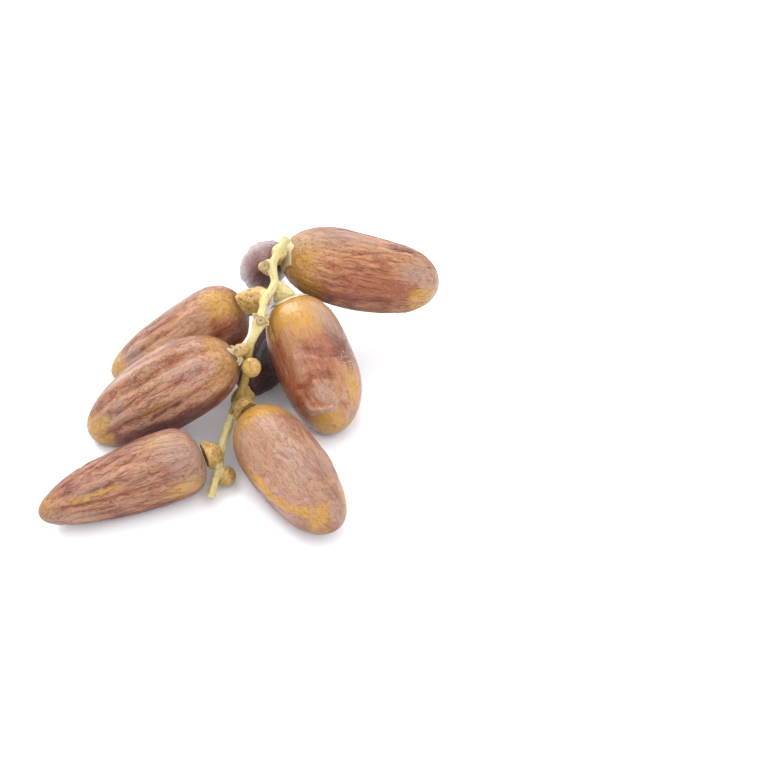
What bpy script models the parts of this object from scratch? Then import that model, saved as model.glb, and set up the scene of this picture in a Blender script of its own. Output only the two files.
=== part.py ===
"""Deglet noor dates on their cut strand, lying on a table.

One strand, the thin yellow fruiting stalk, carries eight dates. Each date sits in a calyx, the
woody cup that it grew from. The strand, its calyces and its dwarf fruitlets grew as one piece, so
they are one solid. Each date is a solid of its own.

+Z is up and the table is z = 0. The origin is the middle of the footprint. The strand's low cut
end points to -Y, and the sizes below are in millimetres.
"""

import math
import random
from dataclasses import dataclass

import bmesh
import bpy
import numpy as np
from mathutils import Vector

MM = 0.001

# Middle of the footprint in the coordinates below, in millimetres: it becomes the origin
ORIGIN = Vector((-0.6576, -0.5454, 0.0))

# The markings of a date are placed round it from the side that faces up and forward
FACE = Vector((0.0, -1.0, 1.0)).normalized()

# Mesh density of a date
DATE_SEGMENTS = 36
DATE_RINGS = 20

# A soft fruit flattens where it lies: what would reach under the table is pressed flat
TABLE = 0.0

# The calyx and its date meet face to face across this gap
CALYX_GAP = 0.4

# Dimple in a date's base, under its calyx
DIMPLE_DEPTH = 0.5
DIMPLE_RADIUS = 2.2

# Lengthwise wrinkles: each starts near its own share of the turn, drifts and waves as it runs, and
# fades out before the ends. Angles are in radians, and places and reaches are shares of the length
GROOVE_JITTER = 0.35
GROOVE_DRIFT = 0.35
GROOVE_WAVE = 0.07
GROOVE_WAVINESS = 9.0
GROOVE_MIDDLE = (0.3, 0.7)
GROOVE_REACH = (0.22, 0.42)
GROOVE_WIDTH = (0.12, 0.20)
GROOVE_LEAST_DEPTH = 0.4

# Slow unevenness of the flesh
LUMP_HEIGHT = 0.16
LUMP_WAVES = (1, 2, 3)

# Wrinkles and lumps shrink where the date narrows to less than this share of its radius
RELIEF_FADE = 1.4

# Strand
STRAND_RADIUS = 1.0
STRAND_STEP = 1.6
STRAND_BEVEL_RESOLUTION = 3
NODE_REACH = 1.5

# Calyx
CALYX_SEGMENTS = 12
CALYX_RINGS = 9
CALYX_ROOT_RADIUS = 1.9
CALYX_RADIUS = 3.6
CALYX_LOBES = 3
CALYX_LOBE_DEPTH = 0.12
CALYX_LENGTH = 4.5
CALYX_MOUTH = 0.72
CALYX_ROUNDNESS = 0.55

# Fruitlet: a date that was never pollinated and stayed a small hard ball
FRUITLET_SEGMENTS = 14
FRUITLET_RINGS = 9
FRUITLET_POINT = 0.10

SCAR_SEGMENTS = 10
SCAR_RINGS = 6

STRAND_COLOUR = (0.66, 0.52, 0.22)
STRAND_ROUGHNESS = 0.6
SKIN_ROUGHNESS = 0.35


@dataclass(frozen=True)
class Fold:
    """A long dent or ridge in the skin. Lengths are in millimetres along the skin."""

    along: float
    turn: float
    length: float
    width: float
    height: float
    slant: float = 0.0


@dataclass(frozen=True)
class Date:
    """One fruit, from the middle of its base to its tip, in millimetres."""

    name: str
    base: tuple
    tip: tuple
    radius: float
    flatness: float
    widest: float
    base_power: float
    tip_power: float
    bow: float
    seed: int
    grooves: int
    groove_depth: float
    folds: tuple
    colour: tuple


DATES = (
    Date("date_1", (7.5, 20.4, 30.4), (47.4, 28.7, 12.0), 10.2, 0.93, 0.46, 2.5, 2.7, 0.4, 11, 15, 0.60,
         (Fold(0.55, 62, 13, 2.4, -0.6), Fold(0.42, -38, 12, 2.0, 0.4)), (0.46, 0.20, 0.09)),
    Date("date_2", (8.7, 9.2, 25.8), (21.8, -15.1, 1.7), 10.0, 0.92, 0.50, 2.6, 2.4, -1.1, 23, 8, 0.35,
         (Fold(0.42, -38, 9, 2.2, -1.0, -14), Fold(0.66, -14, 3.6, 3.4, -1.0),
          Fold(0.56, 10, 2.0, 6.0, 0.5)), (0.55, 0.26, 0.09)),
    Date("date_3", (0.0, -17.3, 11.2), (22.1, -50.9, 6.8), 9.4, 0.92, 0.42, 2.7, 2.5, 0.5, 37, 8, 0.35,
         (Fold(0.50, 2, 13, 4.6, -0.8), Fold(0.62, 44, 11, 1.8, 0.5)), (0.50, 0.26, 0.13)),
    Date("date_4", (-10.7, -29.4, 8.6), (-49.0, -45.8, 5.6), 8.8, 0.93, 0.27, 3.8, 1.85, 0.6, 41, 14, 0.60,
         (Fold(0.62, -12, 13, 1.9, -0.8, -3), Fold(0.45, 30, 11, 2.0, -0.5, 5)), (0.42, 0.20, 0.10)),
    Date("date_5", (-3.2, -8.9, 23.3), (-40.5, -15.8, 2.0), 10.1, 0.89, 0.42, 2.8, 1.95, 0.5, 53, 14, 0.60,
         (Fold(0.58, 30, 13, 1.8, -1.0, 4), Fold(0.60, 46, 13, 2.0, 0.6, 4),
          Fold(0.55, -22, 14, 1.8, -0.6, -3)), (0.40, 0.19, 0.10)),
    Date("date_6", (-2.4, 8.1, 24.1), (-37.1, 6.3, 1.0), 8.8, 0.9, 0.30, 3.3, 1.85, -0.5, 67, 13, 0.55,
         (Fold(0.16, 34, 5, 3.0, 0.6), Fold(0.50, 12, 14, 1.8, -0.6)), (0.44, 0.22, 0.10)),
    Date("date_7", (3.3, 19.2, 27.0), (-0.4, 50.0, 0.6), 7.3, 0.86, 0.46, 2.6, 2.3, 0.3, 71, 14, 0.50,
         (Fold(0.50, 40, 12, 2.0, -0.5),), (0.30, 0.13, 0.09)),
    Date("date_8", (-1.4, -7.2, 8.3), (7.8, 26.1, 2.8), 6.6, 0.8, 0.50, 2.2, 2.3, 0.3, 83, 12, 0.50,
         (Fold(0.50, -30, 12, 2.0, -0.5),), (0.22, 0.09, 0.05)),
)

# Middle line of the strand, from its upper end to its low cut end
STRAND_POINTS = (
    (9.0, 19.4, 36.6), (7.5, 17.3, 35.4), (6.0, 14.8, 33.6), (5.3, 13.0, 32.2), (6.1, 10.0, 30.8),
    (5.4, 7.4, 29.8), (3.8, 4.8, 28.8), (2.9, -0.3, 27.4), (2.0, -3.1, 26.0), (0.3, -6.3, 23.6),
    (-0.4, -8.7, 20.4), (-1.1, -10.8, 16.2), (-2.4, -12.6, 12.4), (-3.9, -15.2, 10.4), (-5.0, -19.2, 8.8),
    (-6.0, -23.1, 7.6), (-6.8, -27.1, 6.5), (-7.2, -31.0, 5.3), (-8.2, -35.5, 3.7), (-8.6, -37.7, 2.9),
)

# Where the strand is swollen: the place as a share of its length, and how much thicker
STRAND_NODES = ((0.0, 0.45), (0.12, 0.75), (0.24, 0.30), (0.35, 0.95), (0.50, 0.60), (0.60, 0.35),
                (0.73, 0.45), (0.88, 0.45), (1.0, 0.15))

# Round scars of shed stalks: the middle of each, and its radius
SCARS = (((2.9, -2.2, 28.0), 1.45), ((-4.1, -16.4, 10.9), 1.0), ((-6.9, -29.2, 7.2), 0.95))

# Dwarf fruitlets: the middle of each, and its radius
FRUITLETS = (((0.8, -11.3, 21.0), 2.45), ((-5.4, -30.8, 2.9), 2.5), ((4.5, 13.5, 32.4), 1.6))


def clear_scene():
    for obj in list(bpy.data.objects):
        bpy.data.objects.remove(obj)


def new_collection(name):
    collection = bpy.data.collections.new(name)
    bpy.context.scene.collection.children.link(collection)
    return collection


def make_material(name, colour, roughness):
    material = bpy.data.materials.new(name)
    material.use_nodes = True
    shader = material.node_tree.nodes["Principled BSDF"]
    shader.inputs["Base Color"].default_value = (*colour, 1.0)
    shader.inputs["Roughness"].default_value = roughness
    return material


def sphere_directions(segments, rings):
    """A unit sphere primitive, and its points as an array."""
    mesh = bmesh.new()
    bmesh.ops.create_uvsphere(mesh, u_segments=segments, v_segments=rings, radius=1.0)
    return mesh, np.array([vertex.co for vertex in mesh.verts], float)


def object_from(mesh, points, name, collection):
    """Moves a primitive's vertices to points, in millimetres, and makes it an object."""
    for vertex, point in zip(mesh.verts, points):
        vertex.co = (Vector(point) - ORIGIN) * MM
    data = bpy.data.meshes.new(name)
    mesh.to_mesh(data)
    mesh.free()
    data.shade_smooth()
    obj = bpy.data.objects.new(name, data)
    collection.objects.link(obj)
    return obj


# Dates

def side_axes(date):
    """Unit vectors of a date: along it, out of its marked side, and across."""
    along = (Vector(date.tip) - Vector(date.base)).normalized()
    out = (FACE - along * FACE.dot(along)).normalized()
    return along, out, along.cross(out)


def form_radius(date, t):
    """Share of the full radius at the share t of the length: blunt at the base, rounder at the tip."""
    to_base = np.clip((date.widest - t) / date.widest, 0.0, 1.0)
    to_tip = np.clip((t - date.widest) / (1.0 - date.widest), 0.0, 1.0)
    power = np.where(t < date.widest, date.base_power, date.tip_power)
    return np.sqrt(np.clip(1.0 - np.maximum(to_base, to_tip) ** power, 0.0, 1.0))


def wrapped(angle):
    return (angle + math.pi) % (2.0 * math.pi) - math.pi


def groove_relief(date, t, turn):
    """Lengthwise wrinkles of the dried skin: seeded grooves, each over its own stretch."""
    draw = random.Random(date.seed)
    height = np.zeros_like(t)
    for index in range(date.grooves):
        start = (index + draw.uniform(-GROOVE_JITTER, GROOVE_JITTER)) * 2.0 * math.pi / date.grooves
        drift = draw.uniform(-GROOVE_DRIFT, GROOVE_DRIFT)
        wave = draw.uniform(0.0, 2.0 * math.pi)
        middle = draw.uniform(*GROOVE_MIDDLE)
        reach = draw.uniform(*GROOVE_REACH)
        depth = date.groove_depth * draw.uniform(GROOVE_LEAST_DEPTH, 1.0)
        width = draw.uniform(*GROOVE_WIDTH)
        centre = start + drift * (t - 0.5) + GROOVE_WAVE * np.sin(GROOVE_WAVINESS * t + wave)
        across = np.exp(-(wrapped(turn - centre) / width) ** 2)
        height -= depth * across * np.exp(-((t - middle) / reach) ** 4)
    return height


def lump_relief(date, t, turn):
    """Slow waves round and along the date."""
    draw = random.Random(date.seed + 1)
    height = np.zeros_like(t)
    for waves in LUMP_WAVES:
        phase = draw.uniform(0.0, 2.0 * math.pi)
        shift = draw.uniform(0.0, 2.0 * math.pi)
        height += LUMP_HEIGHT * np.cos(waves * turn + phase) * np.sin((waves + 1.5) * 2.0 * t + shift)
    return height


def fold_relief(date, t, turn, length):
    height = np.zeros_like(t)
    for fold in date.folds:
        lengthwise = (t - fold.along) * length
        crosswise = wrapped(turn - math.radians(fold.turn)) * date.radius
        slant = math.radians(fold.slant)
        major = lengthwise * math.cos(slant) + crosswise * math.sin(slant)
        minor = crosswise * math.cos(slant) - lengthwise * math.sin(slant)
        height += fold.height * np.exp(-(major / fold.length) ** 2 - (minor / fold.width) ** 2)
    return height


def date_points(date, unit):
    """Places unit sphere points on the date's skin, in millimetres."""
    length = (Vector(date.tip) - Vector(date.base)).length
    t = np.clip((1.0 + unit[:, 2]) / 2.0, 0.0, 1.0)
    turn = np.arctan2(unit[:, 1], unit[:, 0])
    form = form_radius(date, t)
    relief = groove_relief(date, t, turn) + lump_relief(date, t, turn) + fold_relief(date, t, turn, length)
    radius = date.radius * form + relief * np.minimum(1.0, RELIEF_FADE * form)
    out_offset = radius * np.cos(turn) * date.flatness
    cross_offset = radius * np.sin(turn) + date.bow * np.sin(math.pi * t)
    dimple = DIMPLE_DEPTH * np.exp(-(radius / DIMPLE_RADIUS) ** 2) * (t < 0.5)
    on_axis = form < 1e-6
    out_offset[on_axis] = 0.0
    cross_offset[on_axis] = 0.0
    along, out, cross = (np.array(axis) for axis in side_axes(date))
    points = np.array(date.base) + np.outer(t * length + dimple, along)
    points += np.outer(out_offset, out) + np.outer(cross_offset, cross)
    points[:, 2] = np.maximum(points[:, 2], TABLE)
    return points


def build_date(date, collection):
    mesh, unit = sphere_directions(DATE_SEGMENTS, DATE_RINGS)
    obj = object_from(mesh, date_points(date, unit), date.name, collection)
    obj.data.materials.append(make_material(f"{date.name}_skin", date.colour, SKIN_ROUGHNESS))
    return obj


# Strand

def smooth_line(points, step):
    """Points every step along a Catmull-Rom curve through the given points."""
    knots = [Vector(p) for p in points]
    knots = [2 * knots[0] - knots[1], *knots, 2 * knots[-1] - knots[-2]]
    line = []
    for a, b, c, d in zip(knots, knots[1:], knots[2:], knots[3:]):
        count = max(1, round((c - b).length / step))
        for i in range(count):
            s = i / count
            line.append(0.5 * (2 * b + (c - a) * s + (2 * a - 5 * b + 4 * c - d) * s * s
                               + (3 * b - a - 3 * c + d) * s ** 3))
    return [*line, knots[-2]]


def strand_swelling(share, length):
    """How much thicker the strand is at a share of its length, because of its nodes."""
    return 1.0 + sum(more * math.exp(-((share - place) * length / NODE_REACH) ** 2)
                     for place, more in STRAND_NODES)


def build_stalk(collection):
    """The bare stalk: a tube whose radius swells at its nodes."""
    line = smooth_line(STRAND_POINTS, STRAND_STEP)
    steps = [0.0]
    for a, b in zip(line, line[1:]):
        steps.append(steps[-1] + (b - a).length)
    curve = bpy.data.curves.new("stalk_line", "CURVE")
    curve.dimensions = "3D"
    curve.bevel_depth = STRAND_RADIUS * MM
    curve.bevel_resolution = STRAND_BEVEL_RESOLUTION
    curve.use_fill_caps = True
    spline = curve.splines.new("POLY")
    spline.points.add(len(line) - 1)
    for place, (point, run) in enumerate(zip(line, steps)):
        spline.points[place].co = (*((point - ORIGIN) * MM), 1.0)
        spline.points[place].radius = strand_swelling(run / steps[-1], steps[-1])
    guide = bpy.data.objects.new("stalk_line", curve)
    collection.objects.link(guide)
    graph = bpy.context.evaluated_depsgraph_get()
    data = bpy.data.meshes.new_from_object(guide.evaluated_get(graph))
    bpy.data.objects.remove(guide)
    mesh = bmesh.new()
    mesh.from_mesh(data)
    bmesh.ops.remove_doubles(mesh, verts=mesh.verts, dist=0.00002)
    bmesh.ops.recalc_face_normals(mesh, faces=mesh.faces)
    mesh.to_mesh(data)
    mesh.free()
    data.shade_smooth()
    stalk = bpy.data.objects.new("strand", data)
    collection.objects.link(stalk)
    return stalk, line


def build_calyx(date, line, collection):
    """The woody cup between the strand and a date's base: a loft from a round root to a lobed face."""
    along, out, cross = side_axes(date)
    face = Vector(date.base) - along * CALYX_GAP
    root = min(line, key=lambda point: (point - (face - along * CALYX_LENGTH)).length)
    growth = (face - root).normalized()
    draw = random.Random(date.seed + 2)
    first_lobe = draw.uniform(0.0, 2.0 * math.pi)
    mesh, unit = sphere_directions(CALYX_SEGMENTS, CALYX_RINGS)
    points = []
    for x, y, z in unit:
        height = 1.0 - math.acos(max(-1.0, min(1.0, z))) / math.pi
        turn = math.atan2(y, x)
        rise = min(1.0, height / CALYX_MOUTH)
        if height < CALYX_MOUTH:
            radius = CALYX_ROOT_RADIUS * min(1.0, 5.0 * rise) ** 0.5
            flare = math.sin(0.5 * math.pi * rise) ** CALYX_ROUNDNESS
            radius += (CALYX_RADIUS - CALYX_ROOT_RADIUS) * flare
        else:
            radius = CALYX_RADIUS * (1.0 - height) / (1.0 - CALYX_MOUTH)
        radius *= 1.0 + CALYX_LOBE_DEPTH * rise * math.cos(CALYX_LOBES * turn + first_lobe)
        if height in (0.0, 1.0):
            radius = 0.0
        normal = growth.lerp(along, rise).normalized()
        side = (out - normal * out.dot(normal)).normalized()
        lateral = side * math.cos(turn) + normal.cross(side) * math.sin(turn)
        points.append(root.lerp(face, rise) + lateral * radius)
    return object_from(mesh, points, f"calyx_of_{date.name}", collection)


def build_ball(name, middle, radius, segments, rings, collection):
    """A small ball with a slight point, as fruitlets have."""
    mesh, unit = sphere_directions(segments, rings)
    reach = radius * (1.0 + FRUITLET_POINT * np.maximum(unit[:, 2:3], 0.0) ** 8)
    return object_from(mesh, np.array(middle) + unit * reach, name, collection)


def fuse(base, collection):
    """Joins a collection's solids to base, and removes them."""
    union = base.modifiers.new("grown_together", "BOOLEAN")
    union.operation = "UNION"
    union.operand_type = "COLLECTION"
    union.collection = collection
    union.solver = "EXACT"
    graph = bpy.context.evaluated_depsgraph_get()
    data = bpy.data.meshes.new_from_object(base.evaluated_get(graph))
    base.modifiers.clear()
    base.data = data
    for obj in list(collection.objects):
        bpy.data.objects.remove(obj)
    bpy.data.collections.remove(collection)


def build_strand(collection):
    """The strand with all that grew on it: calyces, scars and fruitlets."""
    stalk, line = build_stalk(collection)
    growths = new_collection("growths_on_strand")
    for date in DATES:
        build_calyx(date, line, growths)
    for place, (middle, radius) in enumerate(SCARS):
        build_ball(f"scar_{place}", middle, radius, SCAR_SEGMENTS, SCAR_RINGS, growths)
    for place, (middle, radius) in enumerate(FRUITLETS):
        build_ball(f"fruitlet_{place}", middle, radius, FRUITLET_SEGMENTS, FRUITLET_RINGS, growths)
    fuse(stalk, growths)
    stalk.data.materials.clear()
    stalk.data.materials.append(make_material("strand_wood", STRAND_COLOUR, STRAND_ROUGHNESS))
    return stalk


def main():
    clear_scene()
    dates = new_collection("deglet_noor_strand")
    build_strand(dates)
    for date in DATES:
        build_date(date, dates)


main()
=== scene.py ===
"""Deglet noor dates on their cut strand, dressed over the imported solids.

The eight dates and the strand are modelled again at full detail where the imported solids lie, in the
same frame: +Z is up, the table is z = 0, and the strand's low cut end points to -Y. Tables are in
millimetres and degrees.
"""
import logging
import math
import random
from collections.abc import Sequence
from dataclasses import dataclass, field
from enum import Enum

import bpy
import numpy as np
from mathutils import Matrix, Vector


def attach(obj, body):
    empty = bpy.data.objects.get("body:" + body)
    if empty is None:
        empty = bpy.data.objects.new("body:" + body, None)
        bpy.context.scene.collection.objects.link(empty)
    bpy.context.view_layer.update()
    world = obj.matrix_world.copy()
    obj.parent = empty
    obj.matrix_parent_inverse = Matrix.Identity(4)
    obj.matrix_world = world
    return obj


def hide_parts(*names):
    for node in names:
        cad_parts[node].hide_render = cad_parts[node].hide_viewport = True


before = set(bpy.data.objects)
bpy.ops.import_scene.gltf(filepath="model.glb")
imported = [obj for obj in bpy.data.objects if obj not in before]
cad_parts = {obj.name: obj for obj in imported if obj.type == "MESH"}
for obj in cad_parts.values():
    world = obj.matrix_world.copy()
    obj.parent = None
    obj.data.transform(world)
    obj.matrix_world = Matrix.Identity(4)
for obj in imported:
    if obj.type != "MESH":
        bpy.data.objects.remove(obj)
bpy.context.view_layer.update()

BODY = "root"

MM = 0.001
TABLE = 0.0

# Middle of the footprint in the coordinates of the tables
ORIGIN = Vector((-0.6576, -0.5454, 0.0))

# The markings of a date are placed round it from the side that faces up and forward
FACE = Vector((0.0, -1.0, 1.0)).normalized()

# How much brighter than plain white the light makes white paper
OVER_BRIGHT = 1.78

# The part of a surface's look that is only the bright room in its gloss
GLARE = 0.042

# The least that a surface's own colour can be
DARKEST = 0.004

log = logging.getLogger("dates")

Array = np.ndarray
Point = tuple[float, float, float]
Colour = tuple[float, float, float]
Socket = bpy.types.NodeSocket


def linear(red: int, green: int, blue: int) -> Colour:
    """Turns a screen colour, 0 to 255 each, into the linear one that shaders use."""
    return tuple((part / 255.0 / 12.92) if part <= 10 else ((part / 255.0 + 0.055) / 1.055) ** 2.4
                 for part in (red, green, blue))


def seen(red: int, green: int, blue: int) -> Colour:
    """Finds a surface's own linear colour from its look in light that turns white paper over-bright."""
    return tuple(max(DARKEST, (part - GLARE) / OVER_BRIGHT) for part in linear(red, green, blue))


def wrapped(angle: Array) -> Array:
    """Brings angles in radians into -pi to pi."""
    return (angle + math.pi) % (2.0 * math.pi) - math.pi


def unit_rows(vectors: Array) -> Array:
    """Brings each row to a length of 1."""
    return vectors / np.linalg.norm(vectors, axis=1, keepdims=True)


def distance(points: Array, middle: Array) -> Array:
    """Measures how far each row lies from a point, or from its own row of middle."""
    return np.linalg.norm(points - middle, axis=1)


def bell(value: Array, power: int = 2) -> Array:
    """Gives a bump of height 1 at 0 that fades out beyond 1."""
    return np.exp(-value ** power)


def soft_step(value: Array, low: float, high: float) -> Array:
    """Rises smoothly from 0 at low to 1 at high.

    Args:
        value: Where to evaluate it.
        low: Value at which it starts to rise.
        high: Value at which it reaches 1.

    Returns:
        The step, 0 to 1.
    """
    share = np.clip((value - low) / (high - low), 0.0, 1.0)
    return share * share * (3.0 - 2.0 * share)


def around(first: Array, second: Array, radius: Array, turn: Array) -> Array:
    """Steps away from an axis, towards first at a turn of 0 and towards second a quarter turn on."""
    return first * (radius * np.cos(turn))[:, None] + second * (radius * np.sin(turn))[:, None]


class Noise:
    """Seeded gradient noise in space, sampled at many points at once."""

    CELLS = 256
    SPAN = 1.55
    LAYER_SHIFT = 17.3

    def __init__(self, seed: int) -> None:
        """Draws the lattice's gradients.

        Args:
            seed: Seed of the gradients.
        """
        draw = np.random.default_rng(seed)
        self.order = draw.permutation(self.CELLS)
        self.gradients = unit_rows(draw.normal(size=(self.CELLS, 3)))

    def sample(self, points: Array) -> Array:
        """Gives the noise at each point.

        Args:
            points: One row a point, in lattice cells.

        Returns:
            Values of about -1 to 1.
        """
        cell = np.floor(points).astype(int)
        local = points - cell
        fade = local ** 3 * (local * (local * 6.0 - 15.0) + 10.0)
        total = np.zeros(len(points))
        for corner in np.ndindex(2, 2, 2):
            x, y, z = ((cell + corner) % self.CELLS).T
            pick = self.order[(self.order[(self.order[x] + y) % self.CELLS] + z) % self.CELLS]
            slope = ((local - corner) * self.gradients[pick]).sum(axis=1)
            total += slope * np.where(corner, fade, 1.0 - fade).prod(axis=1)
        return total * self.SPAN

    def layered(self, points: Array, layers: int) -> Array:
        """Adds finer noise on top, each layer half as strong as the one before.

        Args:
            points: One row a point, in cells of the coarsest layer.
            layers: How many layers.

        Returns:
            Values of about -1 to 1.
        """
        total = np.zeros(len(points))
        reach = 0.0
        for layer in range(layers):
            strength = 0.5 ** layer
            total += strength * self.sample(points * 2.0 ** layer + self.LAYER_SHIFT * layer)
            reach += strength
        return total / reach


# Meshes

def start_mesh() -> None:
    """Deselects everything, so that an operator reaches the new primitive alone."""
    if bpy.context.object and bpy.context.object.mode != "OBJECT":
        bpy.ops.object.mode_set(mode="OBJECT")
    bpy.ops.object.select_all(action="DESELECT")


def apply_modifier(piece: bpy.types.Object, kind: str, **settings: object) -> None:
    """Changes a mesh by a modifier.

    Args:
        piece: The object.
        kind: Blender's name for the modifier, such as SOLIDIFY.
        **settings: The modifier's settings.
    """
    bpy.context.view_layer.objects.active = piece
    modifier = piece.modifiers.new(kind, kind)
    for name, value in settings.items():
        setattr(modifier, name, value)
    bpy.ops.object.modifier_apply(modifier=modifier.name)


def sphere(name: str, segments: int, rings: int, halvings: int = 1) -> bpy.types.Object:
    """Adds a unit ball to shape.

    Args:
        name: Name of the piece.
        segments: Faces round it before they are halved.
        rings: Faces from pole to pole before they are halved.
        halvings: How often each face is cut in two each way.

    Returns:
        The new object, active and selected.
    """
    start_mesh()
    bpy.ops.mesh.primitive_uv_sphere_add(segments=segments, ring_count=rings, radius=1.0)
    piece = bpy.context.object
    piece.name = name
    piece.data.name = name
    apply_modifier(piece, "SUBSURF", subdivision_type="SIMPLE", levels=halvings, render_levels=halvings)
    move_points(piece, unit_rows(points_of(piece)))
    return piece


def join(pieces: Sequence[bpy.types.Object], name: str) -> bpy.types.Object:
    """Joins pieces into one.

    Args:
        pieces: The pieces, the first of which is kept.
        name: Name of the joined piece.

    Returns:
        The joined piece.
    """
    start_mesh()
    for piece in pieces:
        piece.select_set(True)
    whole = pieces[0]
    bpy.context.view_layer.objects.active = whole
    bpy.ops.object.join()
    whole.name = name
    whole.data.name = name
    return whole


def rows_of(items: bpy.types.bpy_prop_collection, name: str) -> Array:
    """Reads a vector of each item.

    Args:
        items: The vertices or their normals.
        name: What is read of each.

    Returns:
        One row an item.
    """
    flat = np.empty(len(items) * 3)
    items.foreach_get(name, flat)
    return flat.reshape(-1, 3)


def points_of(piece: bpy.types.Object) -> Array:
    """Reads a mesh's vertices, one row a point."""
    return rows_of(piece.data.vertices, "co")


def move_points(piece: bpy.types.Object, points: Array) -> None:
    """Moves a mesh's vertices to new places, one row a vertex."""
    piece.data.vertices.foreach_set("co", np.ascontiguousarray(points).ravel())
    piece.data.update()


def to_metres(points: Array) -> Array:
    """Takes points from the tables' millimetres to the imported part's metres."""
    return (points - np.array(ORIGIN)) * MM


def store(piece: bpy.types.Object, name: str, values: Array) -> None:
    """Keeps values for each vertex, for the material to read.

    Args:
        piece: The object.
        name: Name of the attribute.
        values: One value or one row of three for each vertex.
    """
    kind, slot = ("FLOAT_VECTOR", "vector") if values.ndim == 2 else ("FLOAT", "value")
    attribute = piece.data.attributes.new(name, kind, "POINT")
    attribute.data.foreach_set(slot, values.astype(np.float32).ravel())


def dress(piece: bpy.types.Object, material: bpy.types.Material, node: str) -> None:
    """Gives a piece its material, shades it smooth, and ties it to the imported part.

    Args:
        piece: The finished piece.
        material: Its material.
        node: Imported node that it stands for.
    """
    piece.data.materials.clear()
    piece.data.materials.append(material)
    piece.data.polygons.foreach_set("material_index", [0] * len(piece.data.polygons))
    piece.data.shade_smooth()
    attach(piece, BODY)
    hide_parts(node)
    log.info("%s: %d faces", piece.name, len(piece.data.polygons))


def smooth_line(points: Sequence[Point], step: float) -> list[Vector]:
    """Runs a Catmull-Rom curve through points.

    Args:
        points: Points on the curve.
        step: About how far apart the new points are.

    Returns:
        Points along the curve, its ends included.
    """
    knots = [Vector(point) for point in points]
    knots = [2 * knots[0] - knots[1], *knots, 2 * knots[-1] - knots[-2]]
    line = []
    for a, b, c, d in zip(knots, knots[1:], knots[2:], knots[3:]):
        count = max(1, round((c - b).length / step))
        for i in range(count):
            s = i / count
            line.append(0.5 * (2 * b + (c - a) * s + (2 * a - 5 * b + 4 * c - d) * s * s
                               + (3 * b - a - 3 * c + d) * s ** 3))
    return [*line, knots[-2]]


# Materials

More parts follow.
